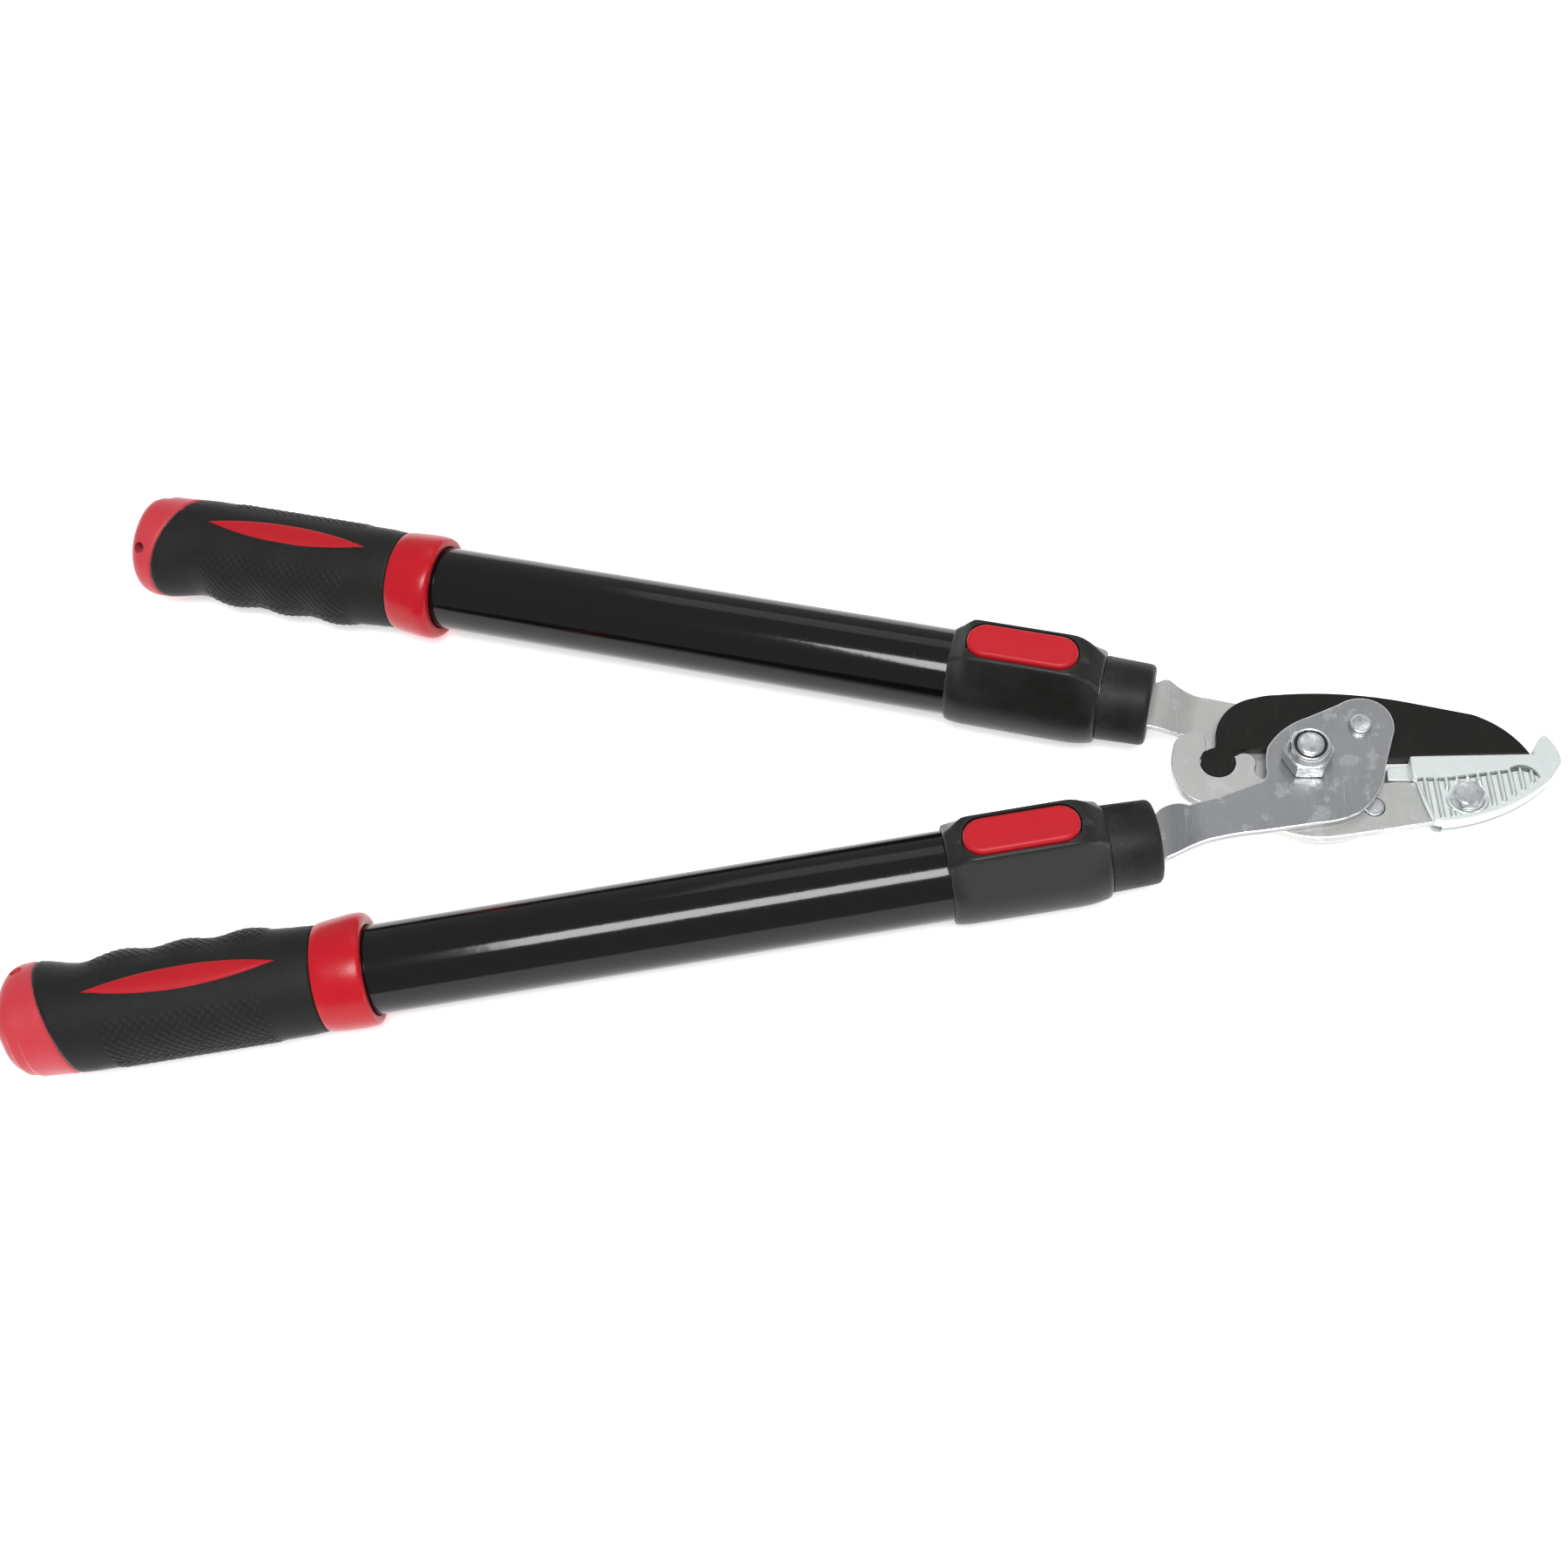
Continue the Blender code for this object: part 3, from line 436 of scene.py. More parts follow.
def wear_group():
    """Wear where a dense mesh is convex."""
    tree, given, out = new_group("Edge Wear", {"Start": 0.52, "Full": 0.6}, "Mask")
    point = tree.nodes.new("ShaderNodeNewGeometry").outputs["Pointiness"]
    ragged = noise(tree, object_place(tree), 500.0, 4.0, 0.7)
    worn = remap(tree, point, given.outputs["Start"], given.outputs["Full"])
    tree.links.new(math_node(tree, "MULTIPLY", worn, remap(tree, ragged, 0.25, 0.6)), out.inputs["Mask"])
    return tree


def crevice_shade_group():
    """Painted shade where a dense mesh is hollow."""
    tree, given, out = new_group("Crevice Painted Shade", {"Start": 0.495, "Full": 0.45}, "Mask")
    point = tree.nodes.new("ShaderNodeNewGeometry").outputs["Pointiness"]
    tree.links.new(remap(tree, point, given.outputs["Start"], given.outputs["Full"]), out.inputs["Mask"])
    return tree


GROUPS = {"grain": grain_group(), "blotches": blotch_group(), "speckles": speckle_group(),
          "scratches": scratch_group(), "dust": dust_group(), "wear": wear_group(),
          "crevice_shade": crevice_shade_group()}
print("node groups:", ", ".join(tree.name for tree in GROUPS.values()))


# %% Material helpers
class Finish:
    """A material with a Principled BSDF, and short ways to layer the shared effects on it."""

    def __init__(self, name, colour, roughness, metallic=0.0, **constants):
        self.material = bpy.data.materials.new(name)
        self.material.use_nodes = True
        self.tree = self.material.node_tree
        self.shader = self.tree.nodes["Principled BSDF"]
        self.shader.inputs["Metallic"].default_value = metallic
        for label, value in constants.items():
            self.shader.inputs[label.replace("_", " ")].default_value = value
        self.shader.inputs["Base Color"].default_value = (*colour, 1.0)
        self.shader.inputs["Roughness"].default_value = roughness
        self.colour = None
        self.base = (*colour, 1.0)
        self.rough = roughness
        self.height = None

    def mask(self, group, **values):
        made = self.tree.nodes.new("ShaderNodeGroup")
        made.node_tree = GROUPS[group]
        for label, value in values.items():
            made.inputs[label.replace("_", " ")].default_value = value
        return made.outputs[0]

    def tint(self, mask, colour, strength=1.0):
        """Blend towards a colour where the mask is."""
        mix = node(self.tree, "ShaderNodeMix", {"data_type": "RGBA"})
        amount = math_node(self.tree, "MULTIPLY", mask, strength)
        self.tree.links.new(amount, mix.inputs["Factor"])
        if self.colour is None:
            mix.inputs[6].default_value = self.base
        else:
            self.tree.links.new(self.colour, mix.inputs[6])
        mix.inputs[7].default_value = (*colour, 1.0)
        self.colour = mix.outputs[2]
        self.tree.links.new(self.colour, self.shader.inputs["Base Color"])
        return self

    def roughen(self, mask, change):
        """Add change to the roughness where the mask is."""
        self.rough = math_node(self.tree, "ADD", self.rough, math_node(self.tree, "MULTIPLY", mask, change))
        self.tree.links.new(self.rough, self.shader.inputs["Roughness"])
        return self

    def bump(self, height, distance):
        """Raise the surface by up to distance metres where the height is."""
        made = node(self.tree, "ShaderNodeBump", None, Height=height, Strength=1.0, Distance=distance)
        if self.height is not None:
            self.tree.links.new(self.height, made.inputs["Normal"])
        self.height = made.outputs["Normal"]
        self.tree.links.new(self.height, self.shader.inputs["Normal"])
        return self


# %% [markdown]
# ## Metals
# The arms and the anvil plate are stamped steel with zinc plating: bluish grey, half blurred, with cloudy
# blotches, white specks and hairlines. Their rolled edges get a finish of their own, smoother and painted
# brighter: partly worn plating, partly a painted highlight. The anvil is a paler casting with a sandy grain; its
# hollows are darkened as painted shade, and its gutter is painted dark as a shadow line. Fasteners are bright
# zinc. The blade wears a matte dark coating. The inner tubes are drawn aluminium.

# %% Metal finishes
def plated_steel(name, colour, roughness, blotches=0.35):
    made = Finish(name, colour, roughness, 1.0)
    cloud = made.mask("blotches", Scale=26.0, Low=0.38, High=0.7)
    fine = made.mask("blotches", Scale=330.0, Low=0.5, High=0.72)
    specks = made.mask("speckles", Scale=1500.0, Cover=0.2)
    lines = made.mask("scratches", Cover=0.1)
    made.tint(cloud, [0.62 * value for value in colour], blotches)
    made.tint(fine, [min(1.2 * value, 0.95) for value in colour], 0.08)
    made.tint(specks, (0.82, 0.83, 0.84), 0.32)
    made.tint(lines, (0.80, 0.81, 0.82), 0.2)
    made.roughen(cloud, 0.14).roughen(fine, -0.08).roughen(lines, 0.12)
    made.bump(made.mask("grain", Scale=900.0, Coarse_Share=1.2), 0.00004)
    made.bump(lines, -0.00001)
    return made.material


# Rolled edges: a brighter, smoother copy of the plating, partly worn plating and partly a painted highlight.
def worn_and_highlit_edge(name, colour):
    made = Finish(name, colour, 0.24, 1.0)
    made.roughen(made.mask("blotches", Scale=700.0, Low=0.4, High=0.6), 0.2)
    made.bump(made.mask("grain", Scale=1400.0, Coarse_Share=0.8), 0.00002)
    return made.material


def cast_alloy():
    made = Finish("cast_alloy", (0.80, 0.84, 0.82), 0.46, 0.75, Specular_IOR_Level=0.6)
    cloud = made.mask("blotches", Scale=120.0, Low=0.4, High=0.7)
    made.tint(cloud, (0.62, 0.66, 0.66), 0.4)
    made.tint(made.mask("wear", Start=0.53, Full=0.6), (0.97, 0.98, 0.97), 0.8)
    # The hollows are darkened: painted shade in the crevices.
    made.tint(made.mask("crevice_shade", Start=0.495, Full=0.45), (0.08, 0.085, 0.08), 0.85)
    made.roughen(cloud, 0.12)
    made.bump(made.mask("grain", Scale=1100.0, Coarse_Share=1.5), 0.00010)
    return made.material


# A dark finish for the gutter's floor: a painted shadow line, not a material of the casting.
def painted_gutter_shade():
    made = Finish("painted_gutter_shade", (0.05, 0.052, 0.048), 0.8, 0.0)
    made.tint(made.mask("blotches", Scale=700.0, Low=0.35, High=0.7), (0.14, 0.14, 0.13), 0.6)
    made.bump(made.mask("grain", Scale=1600.0, Coarse_Share=1.0), 0.00008)
    return made.material


def zinc_fastener():
    made = Finish("zinc_fastener", (0.74, 0.75, 0.76), 0.2, 1.0)
    cloud = made.mask("blotches", Scale=420.0, Low=0.4, High=0.65)
    made.tint(cloud, (0.5, 0.51, 0.52), 0.45).roughen(cloud, 0.2)
    made.tint(made.mask("speckles", Scale=2200.0, Cover=0.16), (0.3, 0.3, 0.3), 0.5)
    made.bump(made.mask("grain", Scale=1500.0, Coarse_Share=1.0), 0.00003)
    return made.material


def blade_coating():
    made = Finish("blade_coating", (0.007, 0.0072, 0.0058), 0.5, 0.0, Specular_IOR_Level=0.22)
    rub = made.mask("scratches", Cover=0.07)
    cloud = made.mask("blotches", Scale=80.0, Low=0.4, High=0.7)
    made.tint(cloud, (0.011, 0.011, 0.009), 0.6).tint(rub, (0.06, 0.06, 0.055), 0.3)
    made.roughen(cloud, -0.06).roughen(rub, -0.12)
    made.bump(made.mask("grain", Scale=2600.0, Coarse_Share=0.5), 0.00003)
    return made.material


def drawn_aluminium():
    made = Finish("drawn_aluminium", (0.72, 0.73, 0.74), 0.28, 1.0)
    lines = noise(made.tree, object_place(made.tree), 1800.0, 2.0)
    made.roughen(lines, 0.18).bump(lines, 0.00001)
    return made.material


METALS = {
    "steel": plated_steel("plated_steel", (0.385, 0.388, 0.395), 0.36, 0.5),
    "pale_steel": plated_steel("plated_steel_pale", (0.62, 0.625, 0.60), 0.42, 0.4),
    "edge": worn_and_highlit_edge("plated_edge_wear_and_highlight", (0.80, 0.81, 0.83)),
    "alloy": cast_alloy(),
    "gutter_shade": painted_gutter_shade(),
    "zinc": zinc_fastener(),
    "coating": blade_coating(),
    "drawn": drawn_aluminium(),
}
print("metals:", ", ".join(METALS))

# %% [markdown]
# ## Plastics, rubber and lacquer
# Housings and ferrules are moulded nylon with a satin grain and a little settled dust. The grip covers are soft
# rubber, which scatters light at grazing angles, so they get some sheen. The red mouldings differ in gloss: the
# caps and the inlays are satin, the buttons are glossier and the collars glossiest. The tubes have gloss black
# lacquer with the faint orange peel of a sprayed coat.

# %% Plastic and lacquer finishes
def satin_nylon(name, specular, roughness):
    made = Finish(name, (0.007, 0.0075, 0.006), roughness, 0.0, Specular_IOR_Level=specular,
                  Sheen_Weight=0.14, Sheen_Roughness=0.2)
    cloud = made.mask("blotches", Scale=90.0, Low=0.35, High=0.7)
    made.tint(cloud, (0.012, 0.013, 0.011), 0.6)
    made.tint(made.mask("wear", Start=0.515, Full=0.58), (0.07, 0.072, 0.068), 0.5)
    made.tint(made.mask("dust", Amount=0.5, Scale=260.0), (0.05, 0.052, 0.048), 0.2)
    made.roughen(cloud, 0.1)
    made.bump(made.mask("grain", Scale=1900.0, Coarse_Share=0.4), 0.00006)
    return made.material


def soft_rubber():
    made = Finish("soft_rubber", (0.006, 0.0068, 0.0055), 0.62, 0.0, Specular_IOR_Level=0.25,
                  Sheen_Weight=0.42, Sheen_Roughness=0.2)
    cloud = made.mask("blotches", Scale=70.0, Low=0.35, High=0.7)
    made.tint(cloud, (0.011, 0.012, 0.010), 0.6)
    made.tint(made.mask("wear", Start=0.52, Full=0.6), (0.06, 0.062, 0.06), 0.5)
    made.tint(made.mask("dust", Amount=0.6, Scale=300.0), (0.05, 0.052, 0.05), 0.15)
    made.bump(made.mask("grain", Scale=2400.0, Coarse_Share=0.3), 0.00008)
    return made.material


def red_moulding(name, colour, pale, roughness, sheen, specular=0.25):
    made = Finish(name, colour, roughness, 0.0, Specular_IOR_Level=specular, Sheen_Weight=sheen,
                  Sheen_Roughness=0.4)
    cloud = made.mask("blotches", Scale=60.0, Low=0.35, High=0.75)
    made.tint(cloud, pale, 0.35)
    made.tint(made.mask("wear", Start=0.53, Full=0.62), pale, 0.5)
    made.tint(made.mask("dust", Amount=0.5, Scale=200.0), pale, 0.3)
    made.roughen(cloud, 0.08)
    made.bump(made.mask("grain", Scale=1600.0, Coarse_Share=0.5), 0.00004)
    return made.material


def black_lacquer():
    made = Finish("black_lacquer", (0.003, 0.003, 0.0028), 0.11, 0.0, IOR=1.42)
    rub = made.mask("scratches", Cover=0.03)
    made.roughen(rub, 0.25)
    made.tint(made.mask("dust", Amount=0.5, Scale=1500.0), (0.03, 0.03, 0.03), 0.12)
    made.bump(noise(made.tree, object_place(made.tree), 260.0, 1.0), 0.00002)
    return made.material


def dark_nylon():
    made = Finish("dark_nylon", (0.012, 0.012, 0.013), 0.4, 0.0)
    made.bump(made.mask("grain", Scale=2000.0, Coarse_Share=0.5), 0.00005)
    return made.material


PLASTICS = {
    "nylon": satin_nylon("satin_nylon", 0.35, 0.36),
    "ferrule": satin_nylon("ferrule_nylon", 0.2, 0.46),
    "rubber": soft_rubber(),
    "cap": red_moulding("red_cap", (0.52, 0.028, 0.042), (0.60, 0.06, 0.08), 0.46, 0.3, 0.35),
    "inlay": red_moulding("red_inlay", (0.44, 0.006, 0.014), (0.48, 0.012, 0.02), 0.5, 0.03),
    "collar": red_moulding("red_collar", (0.46, 0.004, 0.012), (0.54, 0.012, 0.022), 0.24, 0.03, 0.3),
    "button": red_moulding("red_button", (0.48, 0.008, 0.016), (0.54, 0.016, 0.026), 0.34, 0.05),
    "lacquer": black_lacquer(),
    "dark": dark_nylon(),
}
print("plastics:", ", ".join(PLASTICS))

# %% [markdown]
# ## The stamped arms
# Each arm is one steel plate. It starts as a flat outline with rolled edges, and its shank is then stepped down
# to the middle of the handle: the mesh is sliced across the bend and lowered along a soft S. Only slicing makes
# the bend smooth, because a flat face has no points in its middle that could move.

# %% Bending and plate drawing
MID_HALF = 2.0
ARM_INNER = 2.3
ARM_OUTER = 5.3
ARM_STEP = 3.8
BEND = (43.0, 61.0)
BEND_SLICES = 10
SHANK_REAR = 98.0
SHANK_HALF = 10.4
BALL = (-33.1, 3.5)
DRIVE_PIN = (21.1, 18.0)
PLATE_RIVET = (24.0, -16.0)
ANVIL_BOLT = (57.7, -13.5)
PIVOT_HOLE = 5.3
RIVET_HOLE = 4.2
BOLT_HOLE = 3.3
PIN_HOLE = 3.3


def handle_point(label, station, lateral):
    """The head-frame point at a station of a handle, lateral millimetres outwards from its axis."""
    here = Vector((station, -SIDES[label] * lateral, 0.0)) * MM
    point = (head.inverted() @ handles[label] @ here) / MM
    return (point.x, point.y)


def stepped(bm, label, shift):
    """Lower or raise a plate's shank by shift, along a soft S across the handle."""
    along = (head.inverted() @ handles[label]).to_3x3() @ Vector((1.0, 0.0, 0.0))
    for k in range(BEND_SLICES + 1):
        station = BEND[0] + (BEND[1] - BEND[0]) * k / BEND_SLICES
        everything = bm.verts[:] + bm.edges[:] + bm.faces[:]
        bmesh.ops.bisect_plane(bm, geom=everything, plane_co=along * station, plane_no=along, dist=1e-5)
    for vert in bm.verts:
        t = (along.dot(vert.co) - BEND[0]) / (BEND[1] - BEND[0])
        t = min(max(t, 0.0), 1.0)
        vert.co.z += shift * t * t * (3.0 - 2.0 * t)
    return bm


def hole(centre, radius, low=-20.0, high=20.0):
    return prism(circle(centre, radius), low, high)


# %% Upper arm and lever arm
def make_upper_arm():
    points = outline(
        handle_point("upper", SHANK_REAR, SHANK_HALF), handle_point("upper", 62.0, SHANK_HALF),
        handle_point("upper", 60.5, 11.6),
        (handle_point("upper", 58.0, 12.8), handle_point("upper", 55.5, 12.0)),
        ((-44.0, 38.0), (-36.4, 35.9)), (-20.7, 32.2),
        ((14.0, 26.0), (31.0, 2.0)), ((34.0, -8.0), (31.5, -22.4)),
        (18.8, -25.6), ((6.0, -28.9), (-8.0, -26.6)),
        ((-20.0, -17.0), (-30.0, -4.0)), ((-37.4, 9.0), (-42.4, 17.4)),
        (-47.5, 17.8), handle_point("upper", 59.0, -10.6), handle_point("upper", SHANK_REAR, -SHANK_HALF))
    plate = stepped(slab(fillet(points, 0.8, 3), rolled(-ARM_OUTER, -ARM_INNER, 0.5)), "upper", ARM_STEP)
    arm = piece("upper_arm_plate", plate, head, "anvil_head", ["upper_arm"], "plated_steel",
                METALS["pale_steel"], METALS["edge"])
    cut(arm, hole(PIVOT, PIVOT_HOLE), hole(PLATE_RIVET, RIVET_HOLE))
    weighted(arm)


def make_lever_arm():
    points = outline(
        handle_point("lower", SHANK_REAR, SHANK_HALF), handle_point("lower", 62.0, SHANK_HALF),
        handle_point("lower", 60.6, 8.7), (-45.9, -35.1), ((-32.0, -30.9), (-18.5, -28.6)), (3.1, -24.9),
        ((11.0, -23.4), (17.75, -20.56)), arc_about(PIVOT, 29.5, -53.0, -6.0, 24)[1:], (33.4, 14.2),
        ((34.1, 18.0), (33.9, 20.4)), ((31.4, 26.4), (25.0, 30.4)), ((19.4, 30.4), (14.0, 28.0)), (1.1, 21.8),
        ((-8.4, 16.0), (-14.6, 8.0)), ((-15.5, 2.0), (-15.3, -3.0)), ((-16.6, -6.0), (-19.3, -7.6)),
        (-33.7, -13.7), (-40.9, -15.9), (-45.0, -17.2), ((-50.0, -15.7), (-56.2, -17.6)),
        handle_point("lower", 61.0, -10.4), handle_point("lower", SHANK_REAR, -SHANK_HALF))
    plate = stepped(slab(fillet(points, 0.8, 3), rolled(ARM_INNER, ARM_OUTER, 0.55)), "lower", -ARM_STEP)
    arm = piece("lever_arm_plate", plate, head, "lever", ["lever_arm"], "plated_steel",
                METALS["steel"], METALS["edge"])
    cut(arm, hole(PIVOT, PIVOT_HOLE), hole(DRIVE_PIN, PIN_HOLE))
    weighted(arm)


make_upper_arm()
make_lever_arm()

# %% [markdown]
# ## The anvil plate and the blade
# The middle layer holds two plates side by side. The anvil plate ends in a hook that holds the blade's ball, so
# the blade turns in it as a bone turns in its socket. The blade is ground to an edge from both sides by two long
# wedges, and a long slot behind the lever arm takes the drive pin.

# %% Anvil plate
def make_anvil_plate():
    points = outline(
        (-43.1, -13.2), (-36.0, -17.0), (-14.0, -25.6), ((-4.0, -28.8), (8.0, -29.2)), (27.2, -25.8),
        (47.0, -22.0), ((68.0, -16.8), (84.0, -6.5)), (84.0, -4.0), (26.0, -5.4), (15.0, -3.0), (12.0, 3.0),
        arc_about(PIVOT, 12.0, 5.0, 180.0, 32), ((-15.6, -3.9), (-19.3, 0.6)), ((-22.0, 7.4), (-25.6, 6.6)),
        arc_about(BALL, 6.75, 22.0, -232.0, 64),
        (-37.4, 12.6), ((-38.3, 15.2), (-41.0, 16.6)), ((-46.4, 15.6), (-49.7, 10.8)),
        ((-50.8, 1.0), (-48.9, -6.9)), ((-46.5, -10.6), (-43.1, -13.2)))
    plate = piece("anvil_plate_hook", slab(points[:-1], rolled(-MID_HALF, MID_HALF, 0.45)), head, "anvil_head",
                  ["anvil_plate"], "plated_steel", METALS["pale_steel"], METALS["edge"])
    cut(plate, hole(PIVOT, PIVOT_HOLE), hole(PLATE_RIVET, RIVET_HOLE), hole(ANVIL_BOLT, BOLT_HOLE))
    weighted(plate)


# %% Blade
SLOT_LENGTH = 13.6
SLOT_HALF = 3.45
GRIND_START = (27.0, 3.98)
GRIND_END = (87.0, 5.52)


def wedge(start, end, side):
    """A long triangular cutter that grinds one side of a plate to a thin edge, from start to end."""
    section = [(-0.5, 0.12), (4.9, 3.2), (-0.5, 3.2)]
    rings = [[(x, y + across, side * height) for across, height in section] for x, y in (start, end)]
    return loft(rings)


def make_blade():
    points = outline(
        arc_about(BALL, 6.45, 99.0, 380.0, 64),
        ((-25.4, 8.6), (-22.9, 9.5)), arc_about(PIVOT, 12.6, 148.0, 22.0, 32),
        (30.3, 4.05), (83.0, 5.42), ((83.9, 6.6), (83.5, 8.4)), ((75.9, 18.2), (64.4, 25.4)), (40.5, 31.0),
        ((16.0, 34.6), (-8.8, 34.3)), ((-13.3, 33.9), (-17.5, 32.9)),
        ((-28.0, 27.4), (-33.2, 17.0)), (-33.2, 11.4))
    blade = piece("blade_plate", slab(points, rolled(-MID_HALF, MID_HALF, 0.22, 3)), head, "blade",
                  ["blade"], "coated_blade", METALS["coating"])
    inward = (Vector(BALL) - Vector(DRIVE_PIN)).normalized() * SLOT_LENGTH
    slot = prism(stadium(DRIVE_PIN, tuple(Vector(DRIVE_PIN) + inward), SLOT_HALF), -9.0, 9.0)
    mark = spun([(1.75, 0.05), (2.3, 0.75)], "Z", 24, (BALL[0] - 1.2, BALL[1] - 0.2))
    grinds = [wedge(GRIND_START, GRIND_END, side) for side in (1.0, -1.0)]
    cut(blade, slot, *grinds, mark)
    weighted(blade)


make_anvil_plate()
make_blade()

# %% [markdown]
# ## The cast anvil
# The casting straddles the anvil plate. A smooth pad takes the blade's edge, a hook at the nose keeps a branch
# from slipping, and each cheek has a hollow with cross ribs. The gutter between the ribs and the pad is painted
# dark as a shadow line. A casting is soft all over, so its outline is rounded and stacked with a roll and a
# shallow parting groove.
# The ribs are a height over a fine patch of points: the patch is a grid between the pad's line and the rim, and
# each rib is a smooth bump of the distance to its line.

# %% Casting body
PAD_HALF = 6.4
RIB_FLOOR = 4.95
RIB_PITCH = 3.95
RIB_FIRST = 43.4
RIB_HALF = 1.0
HOLLOW_FLOOR = RIB_FLOOR - 1.6
PARTING = [(-0.9, 0.0), (-0.6, 0.3), (0.6, 0.3), (0.9, 0.0)]


def make_anvil_body():
    points = outline(
        (38.2, 3.9), (83.6, 5.1), ((85.3, 10.0), (87.9, 13.3)), ((88.9, 13.6), (89.6, 12.8)),
        ((92.4, 8.2), (93.6, 1.8)), ((91.6, -1.6), (88.9, -5.6)), ((70.6, -18.2), (47.5, -24.6)), (45.2, -24.0),
        ((41.8, -13.0), (40.3, -5.7)), (38.3, -4.4))
    roll = rolled(-PAD_HALF, PAD_HALF, 0.5, 4)
    half = len(roll) // 2
    body = slab(fillet(points, 1.0, 3), roll[:half] + PARTING + roll[half:])
    casting = piece("anvil_casting", body, head, "anvil_head", ["anvil"], "cast_alloy", METALS["alloy"])
    hollow = outline(
        (36.0, -5.2), (49.5, -5.4), (73.7, -1.6), ((82.4, -1.0), (85.0, -5.0)), ((69.4, -16.6), (48.0, -22.6)),
        (36.0, -25.0))
    seat = outline(
        (30.0, -3.4), (84.6, -3.4), (84.6, -7.0), ((69.0, -17.4), (50.0, -22.0)), (44.0, -30.0), (30.0, -30.0))
    cut(casting, prism(hollow, HOLLOW_FLOOR, 9.0), prism(hollow, -9.0, -HOLLOW_FLOOR),
        prism(seat, -ARM_INNER, ARM_INNER), hole(ANVIL_BOLT, BOLT_HOLE))
    weighted(casting)


def make_tongue():
    """The low tongue of the casting behind the pad, which closes the gap under the blade's heel."""
    points = [(30.2, -4.2), (39.5, -4.2), (39.5, 2.4), (31.2, 1.8), (30.2, 0.8)]
    tongue = slab(fillet(points, 0.6, 4), rolled(-1.7, 1.7, 0.35))
    weighted(piece("anvil_tongue", tongue, head, "anvil_head", ["anvil"], "cast_alloy", METALS["alloy"]))


# %% Ribbed cheeks
RIB_COLUMNS = 230
RIB_ROWS = 64
RIB_RISE = 0.85
RING_RADIUS = 6.9
GUTTER = 1.1
GUTTER_DEPTH = 1.2
GUTTER_SHADE_LEVEL = RIB_FLOOR - 0.35
SKIRT_LEVEL = RIB_FLOOR - 1.9


def along_line(points, t):
    """The point at share t of the way along a line of points."""
    lengths = [(Vector(b) - Vector(a)).length for a, b in zip(points, points[1:])]
    left = t * sum(lengths)
    for (a, b), length in zip(zip(points, points[1:]), lengths):
        if left <= length:
            return Vector(a).lerp(Vector(b), left / length)
        left -= length
    return Vector(points[-1])


def smooth(value, low, high):
    t = min(max((value - low) / (high - low), 0.0), 1.0)
    return t * t * (3.0 - 2.0 * t)


def rib_height(point, from_rim, from_pad):
    """Height over the hollow's floor, from the distances to the rim and to the pad."""
    slant = point.x + 0.07 * (point.y + 12.0)
    off = (slant - RIB_FIRST + RIB_PITCH / 2) % RIB_PITCH - RIB_PITCH / 2
    rib = smooth(RIB_HALF - abs(off), 0.0, 0.75)
    from_bolt = point - Vector(ANVIL_BOLT)
    clear = smooth(from_bolt.length, 7.2, 8.4)
    ring = smooth(1.0 - abs(from_bolt.length - RING_RADIUS), 0.0, 0.8) * smooth(-from_bolt.y, -1.5, 2.5)
    height = RIB_RISE * max(rib * clear, ring) * smooth(from_rim, 0.0, 1.2)
    gutter = smooth(GUTTER - from_pad, 0.0, 0.3) * (1.0 - rib)
    return height - GUTTER_DEPTH * gutter


def make_ribs(name, side):
    """One cheek's patch of ribs, closed by a skirt down into the casting."""
    pad_line = [(40.4, -5.1), (49.5, -5.2), (73.7, -1.4)] + arc_through((73.7, -1.4), (80.0, -0.8), (84.6, -3.2))
    rim_line = [(45.6, -23.6)] + arc_through((45.6, -23.6), (69.4, -16.4), (85.1, -4.6), 40)
    bm = bmesh.new()
    grid = []
    for column in range(RIB_COLUMNS + 1):
        t = column / RIB_COLUMNS
        low, high = along_line(rim_line, t), along_line(pad_line, t)
        line = []
        for row in range(RIB_ROWS + 1):
            share = row / RIB_ROWS
            point = low.lerp(high, share)
            across = (high - low).length
            height = RIB_FLOOR + rib_height(point, share * across, (1.0 - share) * across)
            line.append(bm.verts.new((point.x, point.y, side * height)))
        grid.append(line)
    for one, two in zip(grid, grid[1:]):
        for row in range(RIB_ROWS):
            face = bm.faces.new((one[row], two[row], two[row + 1], one[row + 1]))
            # Faces low in the gutter take the second material: a painted dark shadow line under the pad.
            face.material_index = 1 if abs(one[row].co.z) < GUTTER_SHADE_LEVEL else 0
    border = grid[0] + [line[-1] for line in grid[1:]]
    border += list(reversed(grid[-1][:-1])) + [line[0] for line in reversed(grid[1:-1])]
    floor = [bm.verts.new((vert.co.x, vert.co.y, side * SKIRT_LEVEL)) for vert in border]
    for k in range(len(border)):
        after = (k + 1) % len(border)
        bm.faces.new((border[k], border[after], floor[after], floor[k]))
    bm.faces.new(floor)
    piece(name, bm, head, "anvil_head", ["anvil"], "cast_alloy", METALS["alloy"], METALS["gutter_shade"],
          crease=75.0)


make_anvil_body()
make_tongue()
make_ribs("anvil_ribs_front", 1.0)
make_ribs("anvil_ribs_back", -1.0)

# %% [markdown]
# ## Fasteners
# A hexagon nut is more than a six-sided prism: its corners are chamfered on a lathe, which leaves a curved line
# on each flat. Here every ring of the nut takes the smaller of the hexagon's reach and the chamfer's radius,
# and that curve appears by itself. The lock nut has a round crown with a dark ring that grips the bolt's thread.

# %% Hexagons and heads
NUT_SEAT = 5.6
CHAMFER_SLOPE = 1.7
CHAMFER_START = 0.15


